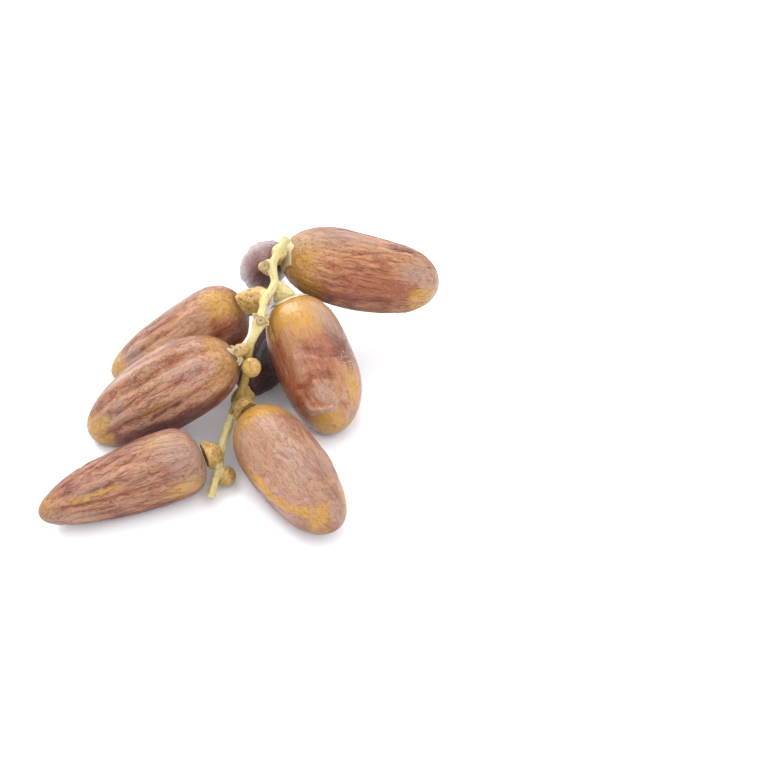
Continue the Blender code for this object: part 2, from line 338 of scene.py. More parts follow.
class Sheet:
    """The nodes of a material or of the world, written from left to right."""

    def __init__(self, owner: bpy.types.Material | bpy.types.World, shader: str = "Principled BSDF") -> None:
        """Starts with the owner's own shader.

        Args:
            owner: The new material or world.
            shader: Blender's name for its shader.
        """
        self.owner = owner
        owner.use_nodes = True
        self.nodes = owner.node_tree.nodes
        self.links = owner.node_tree.links
        self.shader = self.nodes[shader]

    def feed(self, value: object, socket: Socket) -> None:
        """Links an output to a socket, or sets the socket to a number or colour.

        Args:
            value: An output, a number or a colour.
            socket: The socket.
        """
        if isinstance(value, Socket):
            self.links.new(value, socket)
        elif isinstance(value, tuple) and socket.type == "RGBA":
            socket.default_value = (*value[:3], 1.0)
        else:
            socket.default_value = value

    def add(self, kind: str, output: str | int, sockets: dict[str | int, object], **settings: str) -> Socket:
        """Adds a node.

        Args:
            kind: Blender's name for the node, without ShaderNode.
            output: Name or place of the output to use.
            sockets: What each input is fed with.
            **settings: The node's own settings.

        Returns:
            The output.
        """
        node = self.nodes.new(f"ShaderNode{kind}")
        for name, value in settings.items():
            setattr(node, name, value)
        for place, value in sockets.items():
            self.feed(value, node.inputs[place])
        return node.outputs[output]

    def attribute(self, name: str, output: str = "Fac") -> Socket:
        """Reads one of the piece's attributes."""
        return self.add("Attribute", output, {}, attribute_name=name)

    def place(self, kind: str = "Object") -> Socket:
        """Gives coordinates."""
        return self.add("TexCoord", kind, {})

    def stretched(self, vector: Socket, share: float) -> Socket:
        """Scales coordinates along Z, which stretches the pattern on them when the share is below 1."""
        return self.add("Mapping", "Vector", {"Vector": vector, "Scale": (1.0, 1.0, share)})

    def noise(self, vector: Socket, scale: float, detail: float = 3.0, roughness: float = 0.55,
              distortion: float = 0.0) -> Socket:
        """Adds a noise texture.

        Args:
            vector: Coordinates.
            scale: Cells in a unit of them.
            detail: Layers of finer noise.
            roughness: Strength of the finer layers.
            distortion: How far it is warped.

        Returns:
            Its value, 0 to 1.
        """
        return self.add("TexNoise", "Fac", {"Vector": vector, "Scale": scale, "Detail": detail,
                                            "Roughness": roughness, "Distortion": distortion})

    def cells(self, vector: Socket, scale: float) -> Socket:
        """Adds cells, and gives the distance to the middle of each."""
        return self.add("TexVoronoi", "Distance", {"Vector": vector, "Scale": scale})

    def ramp(self, value: Socket, low: float, high: float, to_low: float = 0.0, to_high: float = 1.0,
             curve: str = "SMOOTHSTEP") -> Socket:
        """Maps a range to another.

        Args:
            value: What is mapped.
            low: Start of its range.
            high: End of its range.
            to_low: Result at the start.
            to_high: Result at the end.
            curve: Blender's name for the way between them.

        Returns:
            The mapped value.
        """
        return self.add("MapRange", "Result", {"Value": value, "From Min": low, "From Max": high,
                                               "To Min": to_low, "To Max": to_high},
                        interpolation_type=curve)

    def joined(self, operation: str, a: object, b: object) -> Socket:
        """Joins two values by Blender's name for an operation, such as ADD."""
        return self.add("Math", 0, {0: a, 1: b}, operation=operation)

    def mix(self, factor: object, a: object, b: object) -> Socket:
        """Mixes two colours.

        Args:
            factor: Share of the second.
            a: First colour.
            b: Second colour.

        Returns:
            The mixed colour.
        """
        node = self.nodes.new("ShaderNodeMix")
        node.data_type = "RGBA"
        for name, kind, value in (("Factor", "VALUE", factor), ("A", "RGBA", a), ("B", "RGBA", b)):
            self.feed(value, next(s for s in node.inputs if (s.name, s.type) == (name, kind)))
        return next(s for s in node.outputs if s.type == "RGBA")

    def bump(self, layers: Sequence[tuple[Socket, float, float]]) -> Socket:
        """Lays bumps over each other.

        Args:
            layers: Height from 0 to 1, what it stands for in metres, and strength of each bump.

        Returns:
            The bumped normal.
        """
        normal = None
        for height, metres, strength in layers:
            sockets = {"Distance": metres, "Strength": strength, "Height": height}
            if normal:
                sockets["Normal"] = normal
            normal = self.add("Bump", "Normal", sockets)
        return normal

    def finish(self, **sockets: object) -> bpy.types.Material | bpy.types.World:
        """Sets or links the shader's sockets, named with _ for a space.

        Args:
            **sockets: Values by socket.

        Returns:
            The material or world.
        """
        for name, value in sockets.items():
            self.feed(value, self.shader.inputs[name.replace("_", " ").title().replace("Ior", "IOR")])
        return self.owner


# Dates

class Tone(Enum):
    """What a patch of skin shows."""

    AMBER = "amber"
    RUSSET = "russet"
    BLOOM = "bloom"
    # Real plum-coloured skin, and painted shade on the undersides and lower flanks
    PLUM_AND_SHADE = "plum"
    SUGAR = "sugar"


@dataclass(frozen=True)
class Patch:
    """A patch of one tone with a ragged edge. Half sizes are in millimetres along the skin."""

    tone: Tone
    along: float
    turn: float
    length: float
    width: float
    strength: float


def laid(**tones: Sequence[tuple[float, ...]]) -> tuple[Patch, ...]:
    """Makes the patches of each named tone from the numbers of each patch."""
    return tuple(Patch(Tone(name), *numbers) for name, rows in tones.items() for numbers in rows)


@dataclass(frozen=True)
class Fold:
    """A long dent or ridge in the skin. Lengths are in millimetres along the skin."""

    along: float
    turn: float
    length: float
    width: float
    height: float
    slant: float = 0.0


@dataclass(frozen=True)
class Stroke:
    """A crease or ridge along a path of places (share of the length, turn), with its colour.

    Width is half the line's width and height its height, in millimetres. A crease has a negative height.
    """

    path: tuple[tuple[float, float], ...]
    width: float
    height: float
    tone: Tone
    strength: float


@dataclass(frozen=True)
class Ring:
    """A round raised rim in the skin, with a dent inside, in millimetres."""

    along: float
    turn: float
    radius: float
    width: float
    height: float
    dent: float


@dataclass(frozen=True)
class SkinFinish:
    """Colours and gloss of one date's skin. The ridge colour carries painted light on the ridges, and the
    valley and crease colours carry painted shade in the valleys and creases, besides the skin's own colours.
    """

    ridge: Colour = seen(220, 168, 132)
    valley: Colour = seen(174, 92, 42)
    amber: Colour = seen(236, 178, 80)
    russet: Colour = seen(186, 98, 46)
    bloom: Colour = seen(214, 178, 158)
    # Real plum-coloured skin, and painted shade on the undersides and lower flanks
    plum: Colour = seen(124, 66, 56)
    # Painted shade in the deepest creases, together with the skin's real dark cracks
    crack_and_crease_shade: Colour = seen(112, 48, 20)
    sugar: Colour = seen(238, 216, 178)
    gloss: float = 0.16
    roughness: float = 0.34
    fine: float = 1.0
    stretch: float = 1.0

    # Each tone's greatest share of the colour, and how much more of it lies on the ridges
    TONES = ((Tone.RUSSET, 0.8, -0.3), (Tone.PLUM_AND_SHADE, 0.85, -0.1), (Tone.AMBER, 0.85, -0.2),
             (Tone.BLOOM, 0.7, 0.4))

    # Each noise's stretch along the date, if it has one, and its scale, detail, roughness and distortion
    FIBRES = (0.38, (0.8, 5.0, 0.66, 1.0))
    MOTTLES = (0.5, (0.17, 6.0, 0.62))
    GRIT = (2.6, 5.0, 0.8)
    CRYSTALS = 2.2
    THREAD_WIDTH = 0.035

    # The two kinds of specks: their range of the grit, greatest share, and colour
    SPECKS = ((0.50, 0.62, 0.42, "bloom"), (0.50, 0.38, 0.55, "valley"))

    # Heights of the bumps in metres, and their strength
    THREAD_HEIGHT = 0.00010
    FIBRE_HEIGHT = 0.00042
    GRIT_HEIGHT = 0.00018
    BUMP = 0.9

    # Gloss, and the light that the flesh scatters: its share, its reach by colour, and its depth in metres
    COAT_ROUGHNESS = 0.16
    SHEEN_LEVEL = 0.34
    FLESH_SHARE = 0.10
    FLESH_GLOW = (1.0, 0.36, 0.12)
    FLESH_DEPTH = 0.0008

    def make(self, name: str) -> bpy.types.Material:
        """Builds the skin's material.

        Args:
            name: Name of the material.

        Returns:
            The material.
        """
        sheet = Sheet(bpy.data.materials.new(name))
        grain = sheet.attribute("grain", "Vector")
        share, settings = self.FIBRES
        fibre = sheet.noise(sheet.stretched(grain, share / self.stretch), *settings)
        crease = sheet.joined("ABSOLUTE", sheet.joined("SUBTRACT", fibre, 0.5), 0.0)
        thread = sheet.ramp(crease, 0.0, self.THREAD_WIDTH)
        share, settings = self.MOTTLES
        mottle = sheet.noise(sheet.stretched(grain, share), *settings)
        grit = sheet.noise(grain, *self.GRIT)
        colour = self.toned(sheet, thread, mottle)
        crystals = sheet.ramp(sheet.cells(grain, self.CRYSTALS), 0.22, 0.46, 1.0, 0.0)
        sugar = sheet.joined("MULTIPLY", sheet.ramp(sheet.attribute("sugar"), 0.2, 0.8), crystals)
        colour = sheet.mix(sugar, colour, self.sugar)
        amber = sheet.attribute("amber")
        dull = sheet.ramp(amber, 0.1, 0.7, 1.0, 0.25)
        for low, high, most, hue in self.SPECKS:
            specks = sheet.joined("MULTIPLY", dull, sheet.ramp(grit, low, high, 0.0, most))
            colour = sheet.mix(specks, colour, getattr(self, hue))
        rough = sheet.ramp(sheet.attribute("bloom"), 0.0, 1.0, self.roughness, self.roughness + 0.14)
        rough = sheet.joined("ADD", rough, sheet.ramp(amber, 0.0, 1.0, 0.0, -0.14))
        rough = sheet.joined("ADD", rough, sheet.ramp(grit, 0.3, 0.7, -0.10, 0.12))
        normal = sheet.bump([(height, high * self.fine, self.BUMP) for height, high in (
            (thread, self.THREAD_HEIGHT), (fibre, self.FIBRE_HEIGHT), (grit, self.GRIT_HEIGHT))])
        return sheet.finish(
            base_color=colour, roughness=rough, normal=normal, coat_weight=self.gloss,
            coat_roughness=self.COAT_ROUGHNESS, subsurface_weight=self.FLESH_SHARE,
            subsurface_radius=self.FLESH_GLOW, subsurface_scale=self.FLESH_DEPTH,
            specular_ior_level=self.SHEEN_LEVEL)

    def toned(self, sheet: Sheet, thread: Socket, mottle: Socket) -> Socket:
        """Colours the ridges lighter and the valleys darker as painted light and shade over the relief, lays
        the tones over them, and darkens the creases with painted shade.

        Args:
            sheet: The material's nodes.
            thread: 0 in the finest creases and 1 between them.
            mottle: Slow noise.

        Returns:
            The colour.
        """
        relief = sheet.attribute("ridge")
        ridge = sheet.joined("ADD", relief, sheet.ramp(thread, 0.0, 1.0, -0.26, 0.04))
        # Painted light and shade: lighter on the ridges, darker in the valleys
        colour = sheet.mix(sheet.ramp(ridge, 0.0, 0.72), self.valley, self.ridge)
        colour = sheet.mix(sheet.ramp(mottle, 0.48, 0.68, 0.0, 0.25), colour, self.russet)
        colour = sheet.mix(sheet.ramp(mottle, 0.44, 0.28, 0.0, 0.35), colour, self.bloom)
        wander = sheet.ramp(mottle, 0.3, 0.7, -0.2, 0.2)
        for tone, most, on_ridges in self.TONES:
            share = sheet.joined("MULTIPLY", sheet.joined("SUBTRACT", relief, 0.6), on_ridges)
            there = sheet.joined("ADD", wander, sheet.attribute(tone.value))
            share = sheet.ramp(sheet.joined("ADD", share, there), 0.12, 0.8, 0.0, most)
            colour = sheet.mix(share, colour, getattr(self, tone.value))
        # Painted shade: the deepest creases are darkened
        return sheet.mix(sheet.ramp(ridge, -0.15, 0.25, 0.55, 0.0), colour, self.crack_and_crease_shade)


@dataclass
class DateFruit:
    """One fruit, from the middle of its base to its tip.

    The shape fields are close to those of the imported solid. Wrinkle is the height of the fine wrinkles, crowd
    is how closely they lie, stretch is how much longer than usual they run, and patchy is how far they
    fade between wrinkled areas.

    In the methods, t is the share of the length from the base and turn the angle round the date in radians,
    both with one value for each vertex.
    """

    name: str
    base: Point
    tip: Point
    radius: float
    flatness: float
    widest: float
    base_power: float
    tip_power: float
    bow: float
    seed: int
    grooves: int
    groove_depth: float
    folds: tuple[Fold, ...]
    wrinkle: float = 0.30
    crowd: float = 1.0
    stretch: float = 1.0
    patchy: float = 0.8
    patches: tuple[Patch, ...] = ()
    strokes: tuple[Stroke, ...] = ()
    rings: tuple[Ring, ...] = ()
    finish: SkinFinish = field(default_factory=SkinFinish)

    SEGMENTS = 60
    RINGS = 48
    DIMPLE_DEPTH = 0.5
    DIMPLE_RADIUS = 2.2
    GROOVE_JITTER = 0.35
    GROOVE_DRIFT = 0.35
    GROOVE_WAVE = 0.07
    GROOVE_WAVINESS = 9.0
    GROOVE_MIDDLE = (0.3, 0.7)
    GROOVE_REACH = (0.22, 0.42)
    GROOVE_WIDTH = (0.12, 0.20)
    GROOVE_LEAST_DEPTH = 0.4
    LUMP_HEIGHT = 0.16
    LUMP_WAVES = (1, 2, 3)
    RELIEF_FADE = 1.4

    # Strokes vary in width along and round the date, and taper over this share of their path
    WOBBLE = 0.3
    WOBBLE_WAVES = (2.1, 5.0)
    TAPER = (-0.05, 0.3)

    # The least form that strokes and rings are narrowed to near the ends, and the reach of a ring's dent
    LEAST_FORM = 0.25
    DENT_REACH = 0.75

    # Ragged edges: cells of the noise, how far it moves the edge, and the edge itself in half sizes
    PATCH_EDGE = ((0.42, 0.42, 0.22), 0.5, (-1.6, -0.2))
    STROKE_EDGE = ((0.9, 0.9, 0.30), 0.8, (-1.2, 0.1))
    PATCH_LEAST_FORM = 0.3

    # Each size of wrinkle: cells of the noise, strength, half width of a crease, and place in the noise
    WRINKLES = (((0.20, 0.20, 0.036), 1.0, 0.075, 0.0), ((0.46, 0.46, 0.075), 0.6, 0.12, 29.0),
                ((1.1, 1.1, 0.20), 0.6, 0.20, 57.0))
    WARP_CELLS = (0.15, 0.15, 0.08)
    WARP_REACH = (1.6, 1.6, 2.4)
    WARP_PLACES = (3.1, 41.7, 83.9)
    SWELLING = 0.7
    CREASE = 0.55
    MIDDLE = 0.3

    # Calm stretches of skin, and how far amber and bloom smooth it
    CALM_CELLS = (0.11, 0.11, 0.06)
    CALM_PLACE = 7.7
    CALM_EDGE = (-0.25, 0.35)
    SMOOTHED = 0.6
    BLOOM_SMOOTH = 0.6

    # A form below this is a pole
    CLOSED = 1e-6

    # How light the skin is painted, with painted shade in the creases and grooves and painted light on the
    # swellings: level, then the effect of creases, wrinkles and grooves, then the limits
    RIDGE = (0.84, -0.66, 0.3, 0.35)
    RIDGE_LIMITS = (-0.5, 1.3)

    @property
    def length(self) -> float:
        """Length from base to tip."""
        return (Vector(self.tip) - Vector(self.base)).length

    def axes(self) -> tuple[Vector, Vector, Vector]:
        """Finds the date's own directions.

        Returns:
            Unit vectors along the date, out of its marked side, and across.
        """
        along = (Vector(self.tip) - Vector(self.base)).normalized()
        out = (FACE - along * FACE.dot(along)).normalized()
        return along, out, along.cross(out)

    def form(self, t: Array) -> Array:
        """Gives the share of the full radius, blunt at the base and rounder at the tip.

        Args:
            t: Share of the length from the base.

        Returns:
            Share of the radius.
        """
        to_base = np.clip((self.widest - t) / self.widest, 0.0, 1.0)
        to_tip = np.clip((t - self.widest) / (1.0 - self.widest), 0.0, 1.0)
        power = np.where(t < self.widest, self.base_power, self.tip_power)
        return np.sqrt(np.clip(1.0 - np.maximum(to_base, to_tip) ** power, 0.0, 1.0))

    def groove_relief(self, t: Array, turn: Array) -> Array:
        """Gives the seeded lengthwise grooves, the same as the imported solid's.

        Args:
            t: Share of the length.
            turn: Angle round the date.

        Returns:
            Height in millimetres.
        """
        draw = random.Random(self.seed)
        height = np.zeros_like(t)
        for index in range(self.grooves):
            jitter = draw.uniform(-self.GROOVE_JITTER, self.GROOVE_JITTER)
            start = (index + jitter) * 2.0 * math.pi / self.grooves
            drift = draw.uniform(-self.GROOVE_DRIFT, self.GROOVE_DRIFT)
            wave = draw.uniform(0.0, 2.0 * math.pi)
            middle = draw.uniform(*self.GROOVE_MIDDLE)
            reach = draw.uniform(*self.GROOVE_REACH)
            depth = self.groove_depth * draw.uniform(self.GROOVE_LEAST_DEPTH, 1.0)
            width = draw.uniform(*self.GROOVE_WIDTH)
            centre = start + drift * (t - 0.5) + self.GROOVE_WAVE * np.sin(self.GROOVE_WAVINESS * t + wave)
            height -= depth * bell(wrapped(turn - centre) / width) * bell((t - middle) / reach, 4)
        return height

    def lump_relief(self, t: Array, turn: Array) -> Array:
        """Gives slow waves round and along the date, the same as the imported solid's.

        Args:
            t: Share of the length.
            turn: Angle round the date.

        Returns:
            Height in millimetres.
        """
        draw = random.Random(self.seed + 1)
        height = np.zeros_like(t)
        for waves in self.LUMP_WAVES:
            phase = draw.uniform(0.0, 2.0 * math.pi)
            shift = draw.uniform(0.0, 2.0 * math.pi)
            lengthwise = np.sin((waves + 1.5) * 2.0 * t + shift)
            height += self.LUMP_HEIGHT * np.cos(waves * turn + phase) * lengthwise
        return height

    def skin_offsets(self, place: tuple[float, float], t: Array, turn: Array,
                     slant: float = 0.0) -> tuple[Array, Array]:
        """Measures along the skin from a place.

        Args:
            place: Share of the length and turn in degrees.
            t: Share of the length of each vertex.
            turn: Angle of each vertex.
            slant: Turn of the measuring directions on the skin, in degrees.

        Returns:
            Distances lengthwise and crosswise, in millimetres.
        """
        lengthwise = (t - place[0]) * self.length
        crosswise = wrapped(turn - math.radians(place[1])) * self.radius
        cos, sin = math.cos(math.radians(slant)), math.sin(math.radians(slant))
        return lengthwise * cos + crosswise * sin, crosswise * cos - lengthwise * sin

    def fold_relief(self, t: Array, turn: Array) -> Array:
        """Gives the long folds, the strokes and the rings.

        Args:
            t: Share of the length.
            turn: Angle round the date.

        Returns:
            Height in millimetres.
        """
        height = np.zeros_like(t)
        for fold in self.folds:
            major, minor = self.skin_offsets((fold.along, fold.turn), t, turn, fold.slant)
            height += fold.height * bell(major / fold.length) * bell(minor / fold.width)
        lengthwise, round_it = self.WOBBLE_WAVES
        wobble = 1.0 + self.WOBBLE * np.sin(lengthwise * t * self.length + round_it * turn)
        for stroke in self.strokes:
            away, full = self.stroke_offset(stroke, t, turn)
            height += stroke.height * full * bell(away / (stroke.width * wobble))
        for ring in self.rings:
            major, minor = self.skin_offsets((ring.along, ring.turn), t, turn)
            away = np.hypot(major, minor * np.maximum(self.LEAST_FORM, self.form(t)))
            height += ring.height * bell((away - ring.radius) / ring.width)
            height -= ring.dent * bell(away / (self.DENT_REACH * ring.radius), 4)
        return height

    def stroke_offset(self, stroke: Stroke, t: Array, turn: Array) -> tuple[Array, Array]:
        """Measures along the skin from a stroke's path.

        Args:
            stroke: The stroke.
            t: Share of the length.
            turn: Angle round the date.

        Returns:
            Distance in millimetres, and how full the stroke is there, fading to its ends.
        """
        nearest = np.full(len(t), np.inf)
        reached = np.zeros(len(t))
        gone = 0.0
        girth = self.radius * np.maximum(self.LEAST_FORM, self.form(t))
        for start, end in zip(stroke.path, stroke.path[1:]):
            bend = end[1] - start[1]
            run = np.array([(end[0] - start[0]) * self.length, math.radians(bend) * self.radius])
            step = float(np.hypot(*run))
            lengthwise, crosswise = self.skin_offsets(start, t, turn)
            share = np.clip((lengthwise * run[0] + crosswise * run[1]) / (run @ run), 0.0, 1.0)
            beside = wrapped(turn - np.radians(start[1] + share * bend)) * girth
            away = np.hypot(lengthwise - share * run[0], beside)
            reached = np.where(away < nearest, gone + share * step, reached)
            nearest = np.minimum(nearest, away)
            gone += step
        reached /= gone
        return nearest, soft_step(reached, *self.TAPER) * soft_step(1.0 - reached, *self.TAPER)

    def tone_masks(self, t: Array, turn: Array, body: Array) -> dict[Tone, Array]:
        """Lays the patches and the colours of the strokes.

        Args:
            t: Share of the length.
            turn: Angle round the date.
            body: Points of the plain form in the date's own axes, in millimetres.

        Returns:
            Strength of each tone at each vertex.
        """
        masks = {tone: np.zeros_like(t) for tone in Tone}
        cells, moved, edge = self.PATCH_EDGE
        ragged = moved * Noise(self.seed + 5).layered(body * cells, 3)
        for patch in self.patches:
            major, minor = self.skin_offsets((patch.along, patch.turn), t, turn)
            minor = minor * np.maximum(self.PATCH_LEAST_FORM, self.form(t))
            away = np.hypot(major / patch.length, minor / patch.width) + ragged
            masks[patch.tone] = np.maximum(masks[patch.tone], patch.strength * soft_step(-away, *edge))
        cells, moved, edge = self.STROKE_EDGE
        ragged = moved * Noise(self.seed + 6).layered(body * cells, 3)
        for stroke in self.strokes:
            away, full = self.stroke_offset(stroke, t, turn)
            mask = stroke.strength * full * soft_step(-(away / stroke.width + ragged), *edge)
            masks[stroke.tone] = np.maximum(masks[stroke.tone], mask)
        return masks

    def wrinkle_relief(self, body: Array, smooth: Array) -> tuple[Array, Array]:
        """Gives the fine wrinkles: swellings between narrow creases that wander lengthwise.

        Args:
            body: Points of the plain form in the date's own axes, in millimetres.
            smooth: Share of smoothness of the skin.

        Returns:
            Height, about -1 to 1 before its scale, and how deep in a crease each vertex lies.
        """
        noise = Noise(self.seed + 9)
        warp = np.stack([noise.layered(body * self.WARP_CELLS + place, 2) for place in self.WARP_PLACES],
                        axis=1)
        wandering = (body + warp * self.WARP_REACH) * self.crowd
        wandering[:, 2] /= self.stretch
        height = np.zeros(len(body))
        crease = np.zeros(len(body))
        for cells, strength, narrow, place in self.WRINKLES:
            waves = np.abs(noise.sample(wandering * cells + place))
            line = bell(waves / narrow)
            height += strength * (self.SWELLING * (waves - self.MIDDLE) - self.CREASE * (line - self.MIDDLE))
            crease = np.maximum(crease, line * strength)
        rough = soft_step(noise.layered(body * self.CALM_CELLS + self.CALM_PLACE, 2), *self.CALM_EDGE)
        share = (1.0 - self.patchy * (1.0 - rough)) * (1.0 - self.SMOOTHED * smooth)
        return height * share, crease * share

    def place_skin(self, t: Array, turn: Array, radius: Array) -> Array:
        """Places points round the date's bowed and flattened form.

        Args:
            t: Share of the length.
            turn: Angle round the date.
            radius: Radius of each point, in millimetres.

        Returns:
            The points, in the tables' millimetres.
        """
        along, out, cross = (np.array(axis) for axis in self.axes())
        out_offset = radius * np.cos(turn) * self.flatness
        cross_offset = radius * np.sin(turn) + self.bow * np.sin(math.pi * t)
        dimple = self.DIMPLE_DEPTH * bell(radius / self.DIMPLE_RADIUS) * (t < 0.5)
        points = np.array(self.base) + np.outer(t * self.length + dimple, along)
        points += np.outer(out_offset, out) + np.outer(cross_offset, cross)
        points[:, 2] = np.maximum(points[:, 2], TABLE)
        return points

    def relieved(self, form: Array, relief: Array) -> Array:
        """Adds relief to the plain radius, less where the form closes."""
        return self.radius * form + relief * np.minimum(1.0, self.RELIEF_FADE * form)

    def skin(self, t: Array, turn: Array, lift: Array) -> Array:
        """Finds points a little above the plain skin.

        Args:
            t: Share of the length.
            turn: Angle round the date.
            lift: Height above the skin, in millimetres.

        Returns:
            The points, in the tables' millimetres.
        """
        form = self.form(t)
        radius = self.relieved(form, self.groove_relief(t, turn) + self.lump_relief(t, turn))
        along = np.array(self.axes()[0])
        return self.place_skin(t, turn, radius + lift * form) - np.outer(lift * (1.0 - form), along)

    def build(self) -> None:
        """Models the date and dresses it."""
        piece = sphere(f"{self.name}_fruit", self.SEGMENTS, self.RINGS, 2)
        unit = points_of(piece)
        t = np.clip((1.0 + unit[:, 2]) / 2.0, 0.0, 1.0)
        turn = np.arctan2(unit[:, 1], unit[:, 0])
        form = self.form(t)
        girth = self.radius * form
        body = np.stack([girth * np.cos(turn), girth * np.sin(turn), t * self.length], axis=1)
        masks = self.tone_masks(t, turn, body)
        smooth = np.clip(np.maximum(masks[Tone.AMBER], self.BLOOM_SMOOTH * masks[Tone.BLOOM]), 0.0, 1.0)
        grooves = self.groove_relief(t, turn)
        fine, crease = self.wrinkle_relief(body, smooth)
        fine *= self.wrinkle
        relief = grooves + self.lump_relief(t, turn) + self.fold_relief(t, turn) + fine
        radius = np.where(form < self.CLOSED, 0.0, self.relieved(form, relief))
        move_points(piece, to_metres(self.place_skin(t, turn, radius)))
        for tone, mask in masks.items():
            store(piece, tone.value, mask)
        # Painted light and shade: the skin is painted darker in creases and grooves and lighter on swellings
        level, by_crease, by_wrinkle, by_groove = self.RIDGE
        ridge = level + by_crease * crease + by_wrinkle * fine + by_groove * grooves
        store(piece, "ridge", np.clip(ridge, *self.RIDGE_LIMITS))
        store(piece, "grain", body)
        dress(piece, self.finish.make(f"{self.name}_skin"), self.name)


# Strand

@dataclass(frozen=True)
class StrandFinish:
    """Colours of the stalk and of what grew on it. The olive on the stalk's middle stretch is painted shade,
    and the olive blotches elsewhere are its own colour.
    """

    bark: Colour = seen(248, 228, 160)
    # Real olive blotches, and painted shade on the stalk's middle stretch
    olive_and_shade: Colour = seen(196, 160, 78)
    calyx: Colour = seen(226, 182, 104)
    lobe: Colour = seen(180, 112, 44)
    fruitlet: Colour = seen(224, 182, 96)
    scar: Colour = seen(160, 120, 80)
    # Painted shade in the grooves and dips, together with real dark cracks
    crack_and_crease_shade: Colour = seen(110, 66, 26)
    paper: Colour = seen(246, 226, 182)
    speck: Colour = linear(244, 232, 186)

    MOTTLE_HEIGHT = 0.00016
    GRIT_HEIGHT = 0.00004
    WOOD_GLOW = (1.0, 0.7, 0.3)
    WOOD_DEPTH = 0.0008

    def make(self, name: str) -> bpy.types.Material:
        """Builds the strand's material.

        Args:
            name: Name of the material.

        Returns:
            The material.
        """
        sheet = Sheet(bpy.data.materials.new(name))
        place = sheet.place()
        mottle = sheet.noise(place, 900.0, 4.0, 0.6)
        grit = sheet.noise(place, 4200.0, 2.0)
        fruitlet = sheet.attribute("fruitlet")
        blotches = sheet.ramp(mottle, 0.46, 0.72)
        # Painted shade: the middle stretch of the stalk is coloured olive
        colour = sheet.mix(sheet.ramp(sheet.attribute("shaded"), 0.0, 1.0), self.bark, self.olive_and_shade)
        layers = (
            (sheet.ramp(mottle, 0.5, 0.75, 0.0, 0.4), self.olive_and_shade),
            (sheet.ramp(sheet.attribute("calyx"), 0.15, 0.85), sheet.mix(blotches, self.calyx, self.lobe)),
            (sheet.ramp(fruitlet, 0.2, 0.8), sheet.mix(blotches, self.fruitlet, self.lobe)),
            (sheet.attribute("paper"), self.paper),
            (sheet.ramp(sheet.attribute("scar"), 0.1, 0.9), self.scar),
            # Painted shade: the bark's grooves and the low spots between the knobs are darkened
            (sheet.ramp(sheet.attribute("fibre"), 0.0, 0.4, 0.65, 0.0), self.crack_and_crease_shade),
            (sheet.ramp(grit, 0.4, 0.7, 0.0, 0.2), self.speck))
        for share, hue in layers:
            colour = sheet.mix(share, colour, hue)
        rough = sheet.joined("SUBTRACT", sheet.ramp(mottle, 0.3, 0.7, 0.42, 0.62),
                             sheet.ramp(fruitlet, 0.0, 1.0, 0.0, 0.18))
        normal = sheet.bump(((mottle, self.MOTTLE_HEIGHT, 0.7), (grit, self.GRIT_HEIGHT, 0.5)))
        return sheet.finish(
            base_color=colour, roughness=rough, normal=normal, subsurface_weight=0.12,
            subsurface_radius=self.WOOD_GLOW, subsurface_scale=self.WOOD_DEPTH, specular_ior_level=0.4)


@dataclass(frozen=True)
class Growth:
    """A round growth on the stalk: its middle and its radius."""

    middle: Point
    radius: float


@dataclass(frozen=True)
class Cup:
    """The calyx that holds a date: its radii, how late it flares, its gold, and its gap to the date."""

    date: DateFruit
    root_radius: float = 1.9
    radius: float = 3.6
    flare: float = 0.55
    golden: float = 1.0
    gap: float = 0.4


@dataclass(frozen=True)
class Flake:
    """A torn papery bract: where it grows, where it points, and its size in millimetres."""

    root: Point
    aim: Point
    length: float
    width: float
    curl: float


@dataclass(frozen=True)
class Collar:
    """A papery rim that hugs a date's base, out to a share of the date's length."""

    date: DateFruit
    reach: float
    ragged: float


